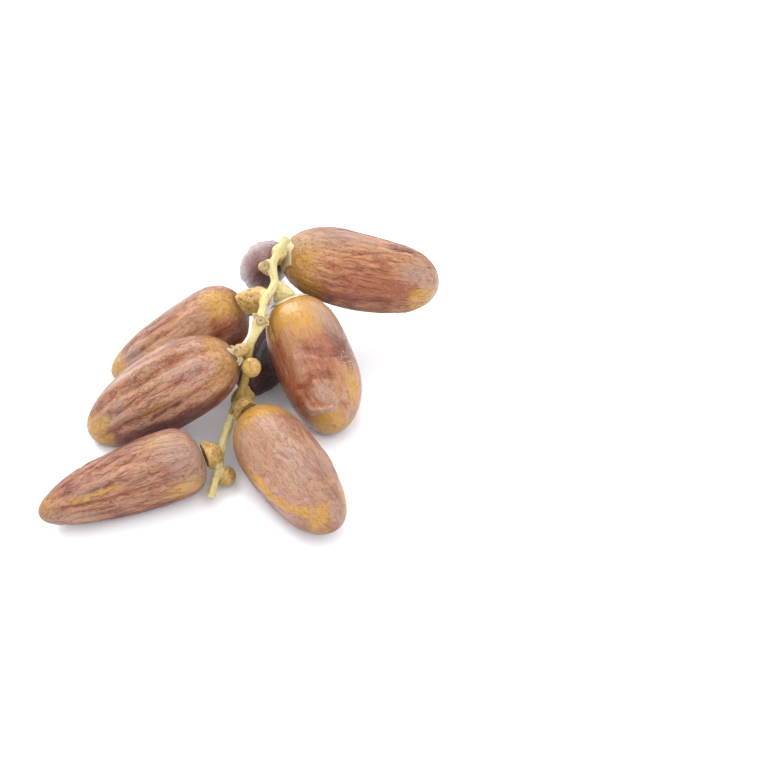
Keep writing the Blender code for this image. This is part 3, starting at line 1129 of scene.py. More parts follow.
@dataclass
class Strand:
    """The stalk with the calyces, scars, dwarf fruitlets and papery bracts that grew on it."""

    cups: tuple[Cup, ...]
    flakes: tuple[Flake, ...]
    collars: tuple[Collar, ...]
    points: tuple[Point, ...]
    nodes: tuple[tuple[float, float], ...]
    scars: tuple[Growth, ...]
    fruitlets: tuple[Growth, ...]
    finish: StrandFinish = field(default_factory=StrandFinish)
    radius: float = 1.0
    node_reach: float = 1.5

    SIDES = 36
    STEP = 0.25
    ROOT_STEP = 1.6
    MARK_STEP = 0.5
    VOXEL = 0.17
    SMOOTHINGS = 3

    # Each set of flutes round the stalk: how many, how far they twist along it, and their depth
    FLUTES = ((5.0, 9.0, 0.05), (3.0, -14.0, 0.035))

    # Shape of a calyx, in millimetres and shares: the edge of its lobes waves round it, and steps in there
    CALYX_FACES = (36, 28)
    CALYX_LENGTH = 4.5
    CALYX_MOUTH = 0.72
    CALYX_LOBES = 3
    CALYX_LOBE_DEPTH = 0.12
    CALYX_EDGE = 0.70
    CALYX_EDGE_WAVE = 0.16
    CALYX_EDGE_REACH = 0.05
    CALYX_STEP = 0.13
    CALYX_RIBS = 11.0
    CALYX_RIB_DEPTH = 0.03

    # Fruitlets and scars start as balls with a slight point
    BALL_FACES = (24, 16)
    BALL_POINT = 0.10
    BALL_POWER = 8

    # Where the wood of a cup starts: from its axis, along it, and from the stalk's line
    CUP_AWAY = (-5.0, -4.2)
    CUP_END = 1.2
    CUP_RISE = (0.02, 0.2)
    CUP_CLEAR = (1.15, 1.6)

    # Where a fruitlet starts, and a scar's distance from its middle, rim and pit, in radii
    BALL_AWAY = (-1.3, -1.05)
    BALL_CLEAR = (1.1, 1.5)
    SCAR_LIFT = 0.9
    SCAR_RIM = (0.75, 0.22)
    SCAR_PIT = 0.5

    # Bark: share of the lengthwise coordinate taken out, then the cells and place of each noise
    BARK_STRETCH = 0.86
    FIBRE_CELLS = 1.5
    LUMP_CELLS = 0.55
    KNOB_CELLS = 0.8
    KNOB_PLACE = 31.0
    BARK_SEED = 401

    # Heights of the relief, in millimetres
    FIBRE_HEIGHT = 0.16
    LUMP_HEIGHT = 0.12
    KNOB_HEIGHT = 0.34
    WART_HEIGHT = 0.16
    RIM_HEIGHT = 0.22
    PIT_DEPTH = 0.34

    # Where the stretch of the stalk painted olive as painted shade starts and ends, as shares of its length
    SHADED = ((0.38, 0.48), (0.62, 0.72))

    # Papery bracts and rims, in millimetres
    PAPER = 0.16
    RIM_PAPER = 0.18
    FLAKE_FACES = (10, 12)
    FLAKE_TEARS = 6
    FLAKE_TEAR = (0.62, 1.0)
    FLAKE_SEED = 500
    COLLAR_FACES = (96, 8)
    COLLAR_CELLS = 1.8
    COLLAR_LIFT = (0.20, 0.16)
    COLLAR_SEED = 520
    DOUBLES = 1e-6

    def swelling(self, share: Array, length: float) -> Array:
        """Gives how much thicker the stalk is at its nodes, at shares of its length."""
        return 1.0 + sum(more * bell((share - place) * length / self.node_reach)
                         for place, more in self.nodes)

    def build_stalk(self) -> bpy.types.Object:
        """Models the bare stalk: a cylinder cut into rings that follow the line.

        Returns:
            The stalk.
        """
        line = smooth_line(self.points, self.STEP)
        start_mesh()
        bpy.ops.mesh.primitive_cylinder_add(vertices=self.SIDES, depth=1.0, end_fill_type="TRIFAN")
        piece = bpy.context.object
        bpy.ops.object.mode_set(mode="EDIT")
        bpy.ops.mesh.select_all(action="DESELECT")
        bpy.ops.object.mode_set(mode="OBJECT")
        corners = piece.data.vertices
        for edge in piece.data.edges:
            a, b = (corners[index].co for index in edge.vertices)
            edge.select = abs(a.z - b.z) > 0.5
        bpy.ops.object.mode_set(mode="EDIT")
        bpy.ops.mesh.select_mode(type="EDGE")
        bpy.ops.mesh.subdivide(number_cuts=len(line) - 2)
        bpy.ops.object.mode_set(mode="OBJECT")
        unit = points_of(piece)
        steps = np.array([0.0, *(float((b - a).length) for a, b in zip(line, line[1:]))]).cumsum()
        ring = np.clip(np.rint((unit[:, 2] + 0.5) * (len(line) - 1)).astype(int), 0, len(line) - 1)
        share = steps[ring] / steps[-1]
        turn = np.arctan2(unit[:, 1], unit[:, 0])
        flutes = sum(depth * np.cos(count * turn + twist * share) for count, twist, depth in self.FLUTES)
        radius = self.radius * self.swelling(share, steps[-1]) * (1.0 + flutes)
        radius *= np.hypot(unit[:, 0], unit[:, 1])
        sides, ups = self.frames(line)
        points = np.array(line)[ring] + around(sides[ring], ups[ring], radius, turn)
        move_points(piece, to_metres(points))
        return piece

    def frames(self, line: list[Vector]) -> tuple[Array, Array]:
        """Carries a pair of side axes along a line without twist.

        Args:
            line: Points of the line.

        Returns:
            The two side axes at each point.
        """
        sides, ups = [], []
        side = Vector((1.0, 0.0, 0.0))
        for place in range(len(line)):
            ahead = line[min(place + 1, len(line) - 1)]
            behind = line[max(place - 1, 0)]
            run = (ahead - behind).normalized()
            side = (side - run * side.dot(run)).normalized()
            sides.append(side)
            ups.append(side.cross(run))
        return np.array(sides), np.array(ups)

    def calyx_ends(self, cup: Cup) -> tuple[Array, Array]:
        """Finds where a date's calyx starts and ends.

        Args:
            cup: Its sizes and the date that it holds.

        Returns:
            Its root on the stalk, and the middle of its face.
        """
        along = cup.date.axes()[0]
        face = Vector(cup.date.base) - along * cup.gap
        line = smooth_line(self.points, self.ROOT_STEP)
        root = min(line, key=lambda point: (point - (face - along * self.CALYX_LENGTH)).length)
        return np.array(root), np.array(face)

    def build_calyx(self, cup: Cup) -> bpy.types.Object:
        """Models the woody cup at a date's base, with its three lobes round an inner collar.

        Args:
            cup: Its sizes and the date that it holds.

        Returns:
            The cup.
        """
        along, out, _ = (np.array(axis) for axis in cup.date.axes())
        root, face = self.calyx_ends(cup)
        growth = (face - root) / np.linalg.norm(face - root)
        first_lobe = random.Random(cup.date.seed + 2).uniform(0.0, 2.0 * math.pi)
        piece = sphere(f"calyx_of_{cup.date.name}", *self.CALYX_FACES)
        unit = points_of(piece)
        height = 1.0 - np.arccos(np.clip(unit[:, 2], -1.0, 1.0)) / math.pi
        turn = np.arctan2(unit[:, 1], unit[:, 0])
        rise = np.minimum(1.0, height / self.CALYX_MOUTH)
        lobes = np.cos(self.CALYX_LOBES * turn + first_lobe)
        side = cup.root_radius * np.minimum(1.0, 5.0 * rise) ** 0.5
        side = side + (cup.radius - cup.root_radius) * np.sin(0.5 * math.pi * rise) ** cup.flare
        top = cup.radius * (1.0 - height) / (1.0 - self.CALYX_MOUTH)
        radius = np.where(height < self.CALYX_MOUTH, side, top)
        radius *= 1.0 + self.CALYX_LOBE_DEPTH * rise * lobes
        edge = self.CALYX_EDGE + self.CALYX_EDGE_WAVE * lobes
        past = soft_step(rise, edge - self.CALYX_EDGE_REACH, edge + self.CALYX_EDGE_REACH)
        radius *= 1.0 - self.CALYX_STEP * past
        radius *= 1.0 + self.CALYX_RIB_DEPTH * np.cos(self.CALYX_RIBS * turn) * rise
        radius[(height <= 0.0) | (height >= 1.0)] = 0.0
        normal = unit_rows(growth + (along - growth) * rise[:, None])
        first = unit_rows(out - normal * (normal @ out)[:, None])
        middles = root + (face - root) * rise[:, None]
        move_points(piece, to_metres(middles + around(first, np.cross(normal, first), radius, turn)))
        return piece

    def build_ball(self, name: str, growth: Growth) -> bpy.types.Object:
        """Models a ball with a slight point, as fruitlets and scars start.

        Args:
            name: Name of the ball.
            growth: Its middle and radius.

        Returns:
            The ball.
        """
        piece = sphere(name, *self.BALL_FACES)
        unit = points_of(piece)
        point = self.BALL_POINT * np.maximum(unit[:, 2:3], 0.0) ** self.BALL_POWER
        move_points(piece, to_metres(np.array(growth.middle) + unit * growth.radius * (1.0 + point)))
        return piece

    def cup_masks(self, points: Array, from_line: Array) -> Array:
        """Finds how far each point belongs to a calyx.

        Args:
            points: The strand's vertices, in the tables' millimetres.
            from_line: How far each is from the stalk's line, in millimetres of a plain stalk.

        Returns:
            The share at each point.
        """
        mask = np.zeros(len(points))
        for cup in self.cups:
            root, face = self.calyx_ends(cup)
            axis = face - root
            rise = np.clip(((points - root) @ axis) / (axis @ axis), 0.0, self.CUP_END)
            away = distance(points - root, np.outer(np.minimum(rise, 1.0), axis))
            here = cup.golden * soft_step(-away, *self.CUP_AWAY) * soft_step(rise, *self.CUP_RISE)
            mask = np.maximum(mask, here * soft_step(from_line, *self.CUP_CLEAR))
        return mask

    def ball_masks(self, points: Array, from_line: Array) -> Array:
        """Finds how far each point belongs to a fruitlet.

        Args:
            points: The strand's vertices, in the tables' millimetres.
            from_line: How far each is from the stalk's line, in millimetres of a plain stalk.

        Returns:
            The share at each point.
        """
        mask = np.zeros(len(points))
        for growth in self.fruitlets:
            away = distance(points, growth.middle) / growth.radius
            here = soft_step(-away, *self.BALL_AWAY) * soft_step(from_line, *self.BALL_CLEAR)
            mask = np.maximum(mask, here)
        return mask

    def scar_masks(self, points: Array, line: Array) -> tuple[Array, Array]:
        """Finds the rims and the pits of the scars, which face away from the line.

        Args:
            points: The strand's vertices, in the tables' millimetres.
            line: Points of the stalk's line.

        Returns:
            How strong the rims and the pits are at each point.
        """
        rims = np.zeros(len(points))
        pits = np.zeros(len(points))
        middle_of_rim, width = self.SCAR_RIM
        for growth in self.scars:
            middle = np.array(growth.middle)
            outward = middle - line[distance(line, middle).argmin()] + np.array(FACE)
            pole = middle + outward / np.linalg.norm(outward) * growth.radius * self.SCAR_LIFT
            away = distance(points, pole) / growth.radius
            rims += bell((away - middle_of_rim) / width)
            pits += bell(away / self.SCAR_PIT)
        return rims, pits

    def mark(self, piece: bpy.types.Object) -> None:
        """Adds the bark's relief, and keeps what each vertex grew as.

        Args:
            piece: The joined strand.
        """
        points = points_of(piece) / MM + np.array(ORIGIN)
        line = np.array(smooth_line(self.points, self.MARK_STEP))
        gaps = np.linalg.norm(points[:, None, :] - line[None, :, :], axis=2)
        nearest = gaps.argmin(axis=1)
        thickness = self.swelling(np.linspace(0.0, 1.0, len(line)), self.MARK_STEP * len(line))
        from_line = gaps.min(axis=1) / thickness[nearest]
        run = unit_rows(np.gradient(line, axis=0))[nearest]
        cup = self.cup_masks(points, from_line)
        ball = self.ball_masks(points, from_line)
        rims, pits = self.scar_masks(points, line)
        noise = Noise(self.BARK_SEED)
        streaks = points - run * ((points * run).sum(axis=1) * self.BARK_STRETCH)[:, None]
        fibre = np.abs(noise.sample(streaks * self.FIBRE_CELLS))
        lumps = noise.layered(points * self.LUMP_CELLS, 3)
        knobs = np.abs(noise.layered(points * self.KNOB_CELLS + self.KNOB_PLACE, 2))
        bark = (1.0 - cup) * (1.0 - ball)
        height = self.FIBRE_HEIGHT * bark * (fibre - 0.25) + self.LUMP_HEIGHT * lumps
        height += self.KNOB_HEIGHT * cup * (knobs - 0.2) + self.WART_HEIGHT * ball * (knobs - 0.25)
        height += self.RIM_HEIGHT * rims - self.PIT_DEPTH * pits
        move_points(piece, to_metres(points + rows_of(piece.data.vertex_normals, "vector") * height[:, None]))
        share = nearest / (len(line) - 1)
        starts, ends = self.SHADED
        # Low in the bark's grooves and between the knobs, where the material paints shade
        lined = np.where(bark > 0.5, fibre * 2.2, knobs * 2.6) + 0.12
        for name, mask in (("calyx", cup), ("fruitlet", ball), ("scar", pits + 0.6 * rims), ("fibre", lined),
                           ("shaded", soft_step(share, *starts) * (1.0 - soft_step(share, *ends)))):
            store(piece, name, np.clip(mask, 0.0, 1.0))

    def grid(self, across: int, along: int) -> tuple[bpy.types.Object, Array, Array]:
        """Adds a sheet to shape.

        Args:
            across: Faces across it.
            along: Faces along it.

        Returns:
            The sheet, and each vertex's share across and along.
        """
        start_mesh()
        bpy.ops.mesh.primitive_grid_add(x_subdivisions=across, y_subdivisions=along, size=1.0)
        piece = bpy.context.object
        unit = points_of(piece) + 0.5
        return piece, unit[:, 0], unit[:, 1]

    def build_flake(self, place: int, flake: Flake) -> bpy.types.Object:
        """Models a papery bract: a cupped leaf with a torn tip.

        Args:
            place: Its number.
            flake: Its place and sizes.

        Returns:
            The bract.
        """
        piece, u, v = self.grid(*self.FLAKE_FACES)
        aim = np.array(Vector(flake.aim).normalized())
        side = np.cross(aim, np.array(FACE))
        side /= np.linalg.norm(side)
        draw = random.Random(self.FLAKE_SEED + place)
        torn = [draw.uniform(*self.FLAKE_TEAR) for _ in range(self.FLAKE_TEARS)]
        reach = flake.length * np.interp(u, np.linspace(0.0, 1.0, len(torn)), torn)
        across = (u - 0.5) * flake.width * (0.75 + 0.5 * v) * (1.0 - 0.35 * v ** 3)
        cupped = flake.width * (0.35 * (2.0 * u - 1.0) ** 2 - 0.2)
        rise = flake.curl * v * v + cupped + 0.10 * np.sin(9.0 * u + 5.0 * v + place)
        points = np.array(flake.root) + np.outer(v * reach, aim) + np.outer(across, side)
        points += np.outer(rise, np.cross(side, aim))
        move_points(piece, to_metres(points))
        apply_modifier(piece, "SOLIDIFY", thickness=self.PAPER * MM, offset=0.0)
        return piece

    def build_collar(self, place: int, collar: Collar) -> bpy.types.Object:
        """Models the rim that hugs a date's base.

        Args:
            place: Its number.
            collar: Its date and sizes.

        Returns:
            The rim.
        """
        piece, u, v = self.grid(*self.COLLAR_FACES)
        turn = 2.0 * math.pi * u
        circle = np.stack([np.cos(turn), np.sin(turn), np.zeros(len(turn))], axis=1)
        torn = Noise(self.COLLAR_SEED + place).layered(circle * self.COLLAR_CELLS, 3)
        edge = collar.reach * (1.0 + collar.ragged * torn)
        low, high = self.COLLAR_LIFT
        points = collar.date.skin(edge * (0.02 + 0.98 * v) ** 2, turn, low + (high - low) * v)
        move_points(piece, to_metres(points))
        bpy.ops.object.mode_set(mode="EDIT")
        bpy.ops.mesh.select_all(action="SELECT")
        bpy.ops.mesh.remove_doubles(threshold=self.DOUBLES)
        bpy.ops.object.mode_set(mode="OBJECT")
        apply_modifier(piece, "SOLIDIFY", thickness=self.RIM_PAPER * MM, offset=0.0)
        return piece

    def build_paper(self, material: bpy.types.Material) -> None:
        """Models the papery bracts and rims, and dresses them.

        Args:
            material: The strand's material.
        """
        sheets = [self.build_flake(place, flake) for place, flake in enumerate(self.flakes)]
        sheets += [self.build_collar(place, collar) for place, collar in enumerate(self.collars)]
        piece = join(sheets, "strand_bracts")
        for name in ("paper", "fibre"):
            store(piece, name, np.ones(len(piece.data.vertices)))
        dress(piece, material, "strand")

    def build(self) -> None:
        """Models the strand as one skin, as it grew, and dresses it."""
        parts = [self.build_stalk()]
        parts += [self.build_calyx(cup) for cup in self.cups]
        parts += [self.build_ball(f"scar_{place}", scar) for place, scar in enumerate(self.scars)]
        parts += [self.build_ball(f"fruitlet_{place}", ball) for place, ball in enumerate(self.fruitlets)]
        piece = join(parts, "strand_stalk")
        voxel = self.VOXEL * MM * 1.0
        apply_modifier(piece, "REMESH", mode="VOXEL", voxel_size=voxel)
        apply_modifier(piece, "SMOOTH", factor=0.5, iterations=self.SMOOTHINGS)
        self.mark(piece)
        material = self.finish.make("strand_wood")
        dress(piece, material, "strand")
        self.build_paper(material)


# Studio

@dataclass
class Studio:
    """Pale floor, soft lights, and the camera at the photograph's angle, in metres and degrees."""

    target: Point = (0.034058, 0.004545, 0.0)
    elevation: float = 45.0
    distance: float = 0.480
    lens: float = 86.625
    sensor: float = 36.0
    nearest: float = 0.01
    floor_size: float = 6.0
    floor_colours: tuple[Colour, Colour] = ((0.90, 0.90, 0.905), (0.92, 0.92, 0.92))
    sky_colour: Colour = (0.94, 0.96, 1.0)
    sky_heights: tuple[float, float] = (-0.05, 0.9)
    sky_glow: tuple[float, float] = (1.35, 1.80)

    def build_floor(self) -> None:
        """Lays the floor."""
        start_mesh()
        bpy.ops.mesh.primitive_plane_add(size=self.floor_size)
        floor = bpy.context.object
        floor.name = "floor"
        sheet = Sheet(bpy.data.materials.new("floor_paper"))
        grain = sheet.ramp(sheet.noise(sheet.place(), 60.0), 0.2, 0.8)
        colour = sheet.mix(grain, *self.floor_colours)
        floor.data.materials.append(sheet.finish(base_color=colour, roughness=0.9, specular_ior_level=0.1))

    def add_light(self, name: str, place: Point, size: float, power: float, colour: Colour) -> None:
        """Adds a soft square light that faces the dates.

        Args:
            name: Name of the light.
            place: Where it stands.
            size: Its side.
            power: Its power in watts.
            colour: Its colour.
        """
        start_mesh()
        bpy.ops.object.light_add(type="AREA", location=place)
        light = bpy.context.object
        light.name = name
        light.data.size = size
        light.data.energy = power
        light.data.color = colour
        light.rotation_euler = (-Vector(place)).to_track_quat("-Z", "Y").to_euler()

    def build_lights(self) -> None:
        """Sets the world, brighter overhead, and the lights."""
        sky = Sheet(bpy.data.worlds.new("soft_white"), "Background")
        up = sky.add("SeparateXYZ", "Z", {"Vector": sky.place("Generated")})
        glow = sky.ramp(up, *self.sky_heights, *self.sky_glow, curve="LINEAR")
        bpy.context.scene.world = sky.finish(color=self.sky_colour, strength=glow)
        self.add_light("key_softbox", (-0.45, 0.70, 1.00), 0.9, 16.0, (1.0, 0.985, 0.96))
        self.add_light("fill_softbox", (0.7, -0.8, 1.0), 1.0, 2.5, (0.97, 0.98, 1.0))

    def build_camera(self) -> None:
        """Places the camera."""
        rise = math.radians(self.elevation)
        start_mesh()
        bpy.ops.object.camera_add()
        camera = bpy.context.object
        camera.name = "photo_camera"
        camera.data.lens = self.lens
        camera.data.sensor_width = self.sensor
        camera.data.clip_start = self.nearest
        camera.location = (self.target[0], self.target[1] - self.distance * math.cos(rise),
                           self.target[2] + self.distance * math.sin(rise))
        camera.rotation_euler = (math.radians(90.0) - rise, 0.0, 0.0)
        bpy.context.scene.camera = camera

    def build(self) -> None:
        """Sets up the whole studio."""
        self.build_floor()
        self.build_lights()
        self.build_camera()
        bpy.context.scene.view_settings.view_transform = "Standard"
        log.info("studio: floor, two lights and camera")


# Each date's plum patch at a turn of 180 degrees covers its underside as painted shade, and the plum patches
# low on the flanks are painted shade too
DATES = (
    DateFruit(
        name="date_1", base=(7.5, 20.4, 30.4), tip=(47.4, 28.7, 12.0), radius=10.2, flatness=0.93,
        widest=0.46, base_power=2.5, tip_power=2.7, bow=0.4, seed=11, grooves=15, groove_depth=0.60,
        folds=(Fold(0.55, 62, 13, 2.4, -0.6), Fold(0.42, -38, 12, 2.0, 0.4)),
        wrinkle=0.33, crowd=1.35, stretch=2.6, patchy=0.3,
        patches=laid(
            amber=((0.02, 0, 8.0, 60, 0.55), (0.12, 50, 6, 5, 0.5), (0.86, 36, 5.0, 4.0, 1.0)),
            russet=((0.52, 34, 17, 8, 0.85), (0.74, 30, 5, 5, 0.95)),
            bloom=((1.0, 0, 4.0, 60, 0.6), (0.80, -12, 8, 3.5, 0.9), (0.33, -55, 15, 5, 0.7)),
            plum=((0.68, -52, 7, 3, 0.5), (0.42, 88, 14, 3.5, 0.6), (0.5, 180, 25, 24, 0.8))),
        strokes=(
            Stroke(((0.06, 58), (0.29, 59), (0.64, 68)), 0.7, -0.35, Tone.PLUM_AND_SHADE, 0.5),
            Stroke(((0.23, -6), (0.44, -27), (0.62, -36)), 0.45, -0.35, Tone.RUSSET, 0.8),
            Stroke(((0.53, -42), (0.74, -52), (0.84, -39)), 0.7, -0.4, Tone.PLUM_AND_SHADE, 0.9),
            Stroke(((0.59, 12), (0.71, 17), (0.82, 24)), 0.8, -0.35, Tone.RUSSET, 1.0),
            Stroke(((0.11, 5), (0.32, 2), (0.53, -3)), 0.45, -0.3, Tone.RUSSET, 0.7),
            Stroke(((0.16, 26), (0.36, 24), (0.61, 32)), 0.45, -0.3, Tone.RUSSET, 0.8),
            Stroke(((0.10, -42), (0.30, -44), (0.48, -39)), 0.4, -0.25, Tone.PLUM_AND_SHADE, 0.6)),
        finish=SkinFinish(ridge=seen(238, 178, 124), valley=seen(190, 92, 34), stretch=2.4)),
    DateFruit(
        name="date_2", base=(8.7, 9.2, 25.8), tip=(21.8, -15.1, 1.7), radius=10.0, flatness=0.92,
        widest=0.50, base_power=3.2, tip_power=2.4, bow=-1.1, seed=23, grooves=8, groove_depth=0.35,
        folds=(Fold(0.42, -38, 9, 2.2, -1.0, -14), Fold(0.66, -14, 3.6, 3.4, -1.0),
               Fold(0.56, 10, 2.0, 6.0, 0.5)),
        wrinkle=0.20, stretch=0.6, patchy=0.8,
        patches=laid(
            amber=((0.04, -4, 9.0, 16, 0.9), (0.24, 4, 6, 6, 0.35), (0.92, 10, 3.2, 6, 0.85),
                   (0.75, -56, 6, 3.0, 0.7)),
            russet=((0.52, 54, 14, 6.5, 1.0), (0.45, -24, 5, 9, 0.9), (0.78, 48, 6, 3.5, 0.7)),
            bloom=((0.25, -58, 7, 4, 0.6), (0.46, 24, 6, 4, 0.45), (0.71, 0, 3.4, 3.6, 0.7),
                   (0.89, -36, 1.4, 1.4, 0.8)),
            plum=((0.44, -64, 9, 5, 0.8), (0.95, 8, 0.9, 0.9, 1.0), (0.5, 180, 25, 20, 0.7)),
            sugar=((0.60, -54, 5, 2.4, 0.9),)),
        strokes=(
            Stroke(((0.18, -51), (0.33, -57), (0.46, -63)), 1.3, -0.3, Tone.PLUM_AND_SHADE, 0.6),
            Stroke(((0.26, -36), (0.36, -46), (0.46, -54)), 0.6, -0.5, Tone.PLUM_AND_SHADE, 0.8),
            Stroke(((0.36, 26), (0.39, 6), (0.45, -9), (0.47, -27), (0.51, -60)), 1.6, -1.1,
                   Tone.RUSSET, 1.0),
            Stroke(((0.42, 20), (0.44, 2), (0.50, -12), (0.52, -30)), 0.8, 0.25, Tone.BLOOM, 0.5),
            Stroke(((0.48, -34), (0.51, -51), (0.53, -90)), 1.4, -0.3, Tone.PLUM_AND_SHADE, 0.8),
            Stroke(((0.39, 2), (0.40, -16)), 0.5, -0.2, Tone.SUGAR, 1.0),
            Stroke(((0.76, 46), (0.64, 29), (0.59, 15), (0.58, 0), (0.61, -15), (0.68, -36)), 1.2, -1.0,
                   Tone.RUSSET, 1.0),
            Stroke(((0.66, 40), (0.80, 31), (0.83, 0), (0.79, -27), (0.65, -40)), 0.9, 0.8,
                   Tone.BLOOM, 1.0),
            Stroke(((0.10, 52), (0.35, 50), (0.60, 46)), 0.7, -0.35, Tone.RUSSET, 0.8)),
        rings=(Ring(0.95, 8, 0.9, 0.4, 0.2, 0.35),),
        finish=SkinFinish(ridge=seen(222, 156, 100), valley=seen(186, 98, 34), gloss=0.6,
                          roughness=0.32, fine=0.55)),
    DateFruit(
        name="date_3", base=(0.0, -17.3, 11.2), tip=(22.1, -50.9, 6.8), radius=9.4, flatness=0.92,
        widest=0.42, base_power=2.7, tip_power=2.5, bow=0.5, seed=37, grooves=8, groove_depth=0.35,
        folds=(Fold(0.50, 2, 13, 4.6, -0.8), Fold(0.62, 44, 11, 1.8, 0.5)),
        wrinkle=0.20, patchy=0.7, stretch=0.8,
        patches=laid(
            amber=((0.10, -10, 6, 14, 0.6), (0.93, 12, 2.4, 5, 0.75), (0.78, -96, 9, 2.0, 0.8)),
            bloom=((0.58, -20, 10, 7, 0.5), (0.95, -40, 1.9, 1.9, 0.9)),
            plum=((0.66, -36, 8, 5, 0.5), (0.36, -48, 6, 3, 0.4), (0.955, -40, 0.5, 0.5, 1.0),
                  (0.7, 84, 13, 3.5, 0.6), (0.5, 180, 25, 18, 0.7))),
        strokes=(
            Stroke(((0.78, -6), (0.83, -42), (0.77, -80), (0.62, -88), (0.48, -86)), 0.8, 0.4,
                   Tone.AMBER, 0.45),
            Stroke(((0.35, -33), (0.44, -42), (0.53, -51)), 0.5, -0.3, Tone.RUSSET, 0.7),
            Stroke(((0.45, -3), (0.52, -10), (0.58, -18)), 0.5, -0.25, Tone.RUSSET, 0.6),
            Stroke(((0.30, 54), (0.60, 46), (0.79, 40), (0.92, 12), (0.96, -14)), 1.7, 0.6,
                   Tone.AMBER, 1.0)),
        rings=(Ring(0.95, -40, 1.8, 0.5, 0.4, 0.45),),
        finish=SkinFinish(ridge=seen(208, 158, 128), valley=seen(182, 114, 72), gloss=0.25,
                          roughness=0.40, fine=0.7)),
    DateFruit(
        name="date_4", base=(-10.7, -29.4, 8.6), tip=(-49.0, -45.8, 5.6), radius=8.8, flatness=0.93,
        widest=0.27, base_power=4.4, tip_power=1.85, bow=0.6, seed=41, grooves=14, groove_depth=0.60,
        folds=(Fold(0.62, -12, 13, 1.9, -0.8, -3), Fold(0.45, 30, 11, 2.0, -0.5, 5)),
        wrinkle=0.26, crowd=0.95, stretch=3.0, patchy=0.45,
        patches=laid(
            amber=((0.22, 44, 5, 3.5, 0.55), (0.16, -46, 7, 3.0, 0.6), (0.93, 24, 4, 4, 0.45)),
            russet=((0.75, 48, 8, 3, 0.4),),
            bloom=((0.10, 20, 8, 9, 0.75), (0.60, 22, 9, 4, 0.4), (0.84, -56, 8, 3, 0.6)),
            plum=((0.23, -13, 4, 3.5, 0.45), (0.5, -96, 18, 4.0, 0.6), (0.5, 180, 25, 18, 0.8))),
        strokes=(
            Stroke(((0.76, 5), (0.61, 6), (0.46, 5)), 0.7, -0.5, Tone.PLUM_AND_SHADE, 0.7),
            Stroke(((0.92, 2), (0.67, -6), (0.42, -6)), 1.3, 0.3, Tone.AMBER, 0.75),
            Stroke(((0.98, 10), (0.79, -15), (0.62, -22), (0.45, -24), (0.27, -22)), 0.6, -0.6,
                   Tone.RUSSET, 1.0),
            Stroke(((0.88, -24), (0.71, -32), (0.50, -40)), 0.6, -0.35, Tone.RUSSET, 0.8),
            Stroke(((0.92, 52), (0.68, 56), (0.50, 58)), 0.8, -0.4, Tone.RUSSET, 0.9),
            Stroke(((0.36, 14), (0.33, 22), (0.28, 34)), 0.4, -0.3, Tone.RUSSET, 0.7),
            Stroke(((0.94, -36), (0.84, -50), (0.70, -60)), 0.7, 0.3, Tone.BLOOM, 0.7)),
        finish=SkinFinish(ridge=seen(214, 160, 126), valley=seen(178, 94, 46), roughness=0.40,
                          stretch=1.8)),
    DateFruit(
        name="date_5", base=(-3.2, -8.9, 23.3), tip=(-40.5, -15.8, 2.0), radius=10.1, flatness=0.89,
        widest=0.42, base_power=2.8, tip_power=1.95, bow=0.5, seed=53, grooves=14, groove_depth=0.60,
        folds=(Fold(0.58, 30, 13, 1.8, -1.0, 4), Fold(0.60, 46, 13, 2.0, 0.6, 4),
               Fold(0.55, -22, 14, 1.8, -0.6, -3)),
        wrinkle=0.20, crowd=1.1, stretch=2.0, patchy=0.65,
        patches=laid(
            amber=((0.85, 4, 2.6, 2.0, 1.0), (0.93, -20, 3.5, 7, 0.9), (0.04, 30, 4, 8, 0.5),
                   (0.12, -36, 5, 3, 0.4)),
            russet=((0.28, 33, 4.5, 2.2, 0.9), (0.84, -50, 5, 5, 0.9)),
            bloom=((0.24, 10, 7, 5, 0.6), (0.62, 56, 12, 3, 0.6), (0.72, 14, 6, 4, 0.5)),
            plum=((0.5, -66, 17, 5.0, 0.95), (0.5, 180, 25, 20, 0.8)),
            sugar=((0.46, 26, 6, 4.0, 0.85),)),
        strokes=(
            Stroke(((0.22, 31), (0.36, 33), (0.48, 29), (0.60, 26)), 0.8, -0.7, Tone.RUSSET, 1.0),
            Stroke(((0.26, 40), (0.44, 42), (0.53, 42), (0.62, 38)), 1.2, 0.5, Tone.SUGAR, 1.0),
            Stroke(((0.58, 38), (0.67, 35), (0.73, 30), (0.82, 8)), 0.7, 0.4, Tone.AMBER, 0.6),
            Stroke(((0.20, -20), (0.39, -18), (0.58, -18), (0.70, -27)), 0.8, 0.4, Tone.AMBER, 0.5),
            Stroke(((0.30, -30), (0.48, -32), (0.62, -36)), 0.9, -0.4, Tone.PLUM_AND_SHADE, 0.9),
            Stroke(((0.07, -42), (0.17, -42), (0.30, -44)), 0.6, 0.3, Tone.BLOOM, 0.6),
            Stroke(((0.40, 8), (0.58, 8), (0.74, 2)), 0.5, -0.35, Tone.RUSSET, 0.8)),
        finish=SkinFinish(ridge=seen(228, 172, 136), valley=seen(176, 92, 48), stretch=1.6)),
    DateFruit(
        name="date_6", base=(-2.4, 8.1, 24.1), tip=(-37.1, 6.3, 1.0), radius=8.8, flatness=0.90,
        widest=0.30, base_power=4.0, tip_power=1.85, bow=-0.5, seed=67, grooves=13, groove_depth=0.55,
        folds=(Fold(0.16, 34, 5, 3.0, 0.6), Fold(0.50, 12, 14, 1.8, -0.6)),
        wrinkle=0.20, crowd=1.1, stretch=2.0, patchy=0.65,
        patches=laid(
            amber=((0.06, 24, 5, 5, 0.75), (0.92, 4, 4.4, 9, 0.95)),
            russet=((0.12, -18, 4, 3.5, 0.7), (0.45, 36, 10, 3, 0.5)),
            bloom=((0.75, 28, 5, 4, 0.6), (0.45, 70, 14, 3, 0.6)),
            plum=((0.0, 0, 2.0, 60, 0.5), (0.08, -62, 6, 4, 0.6), (0.5, 180, 25, 20, 0.8))),
        strokes=(
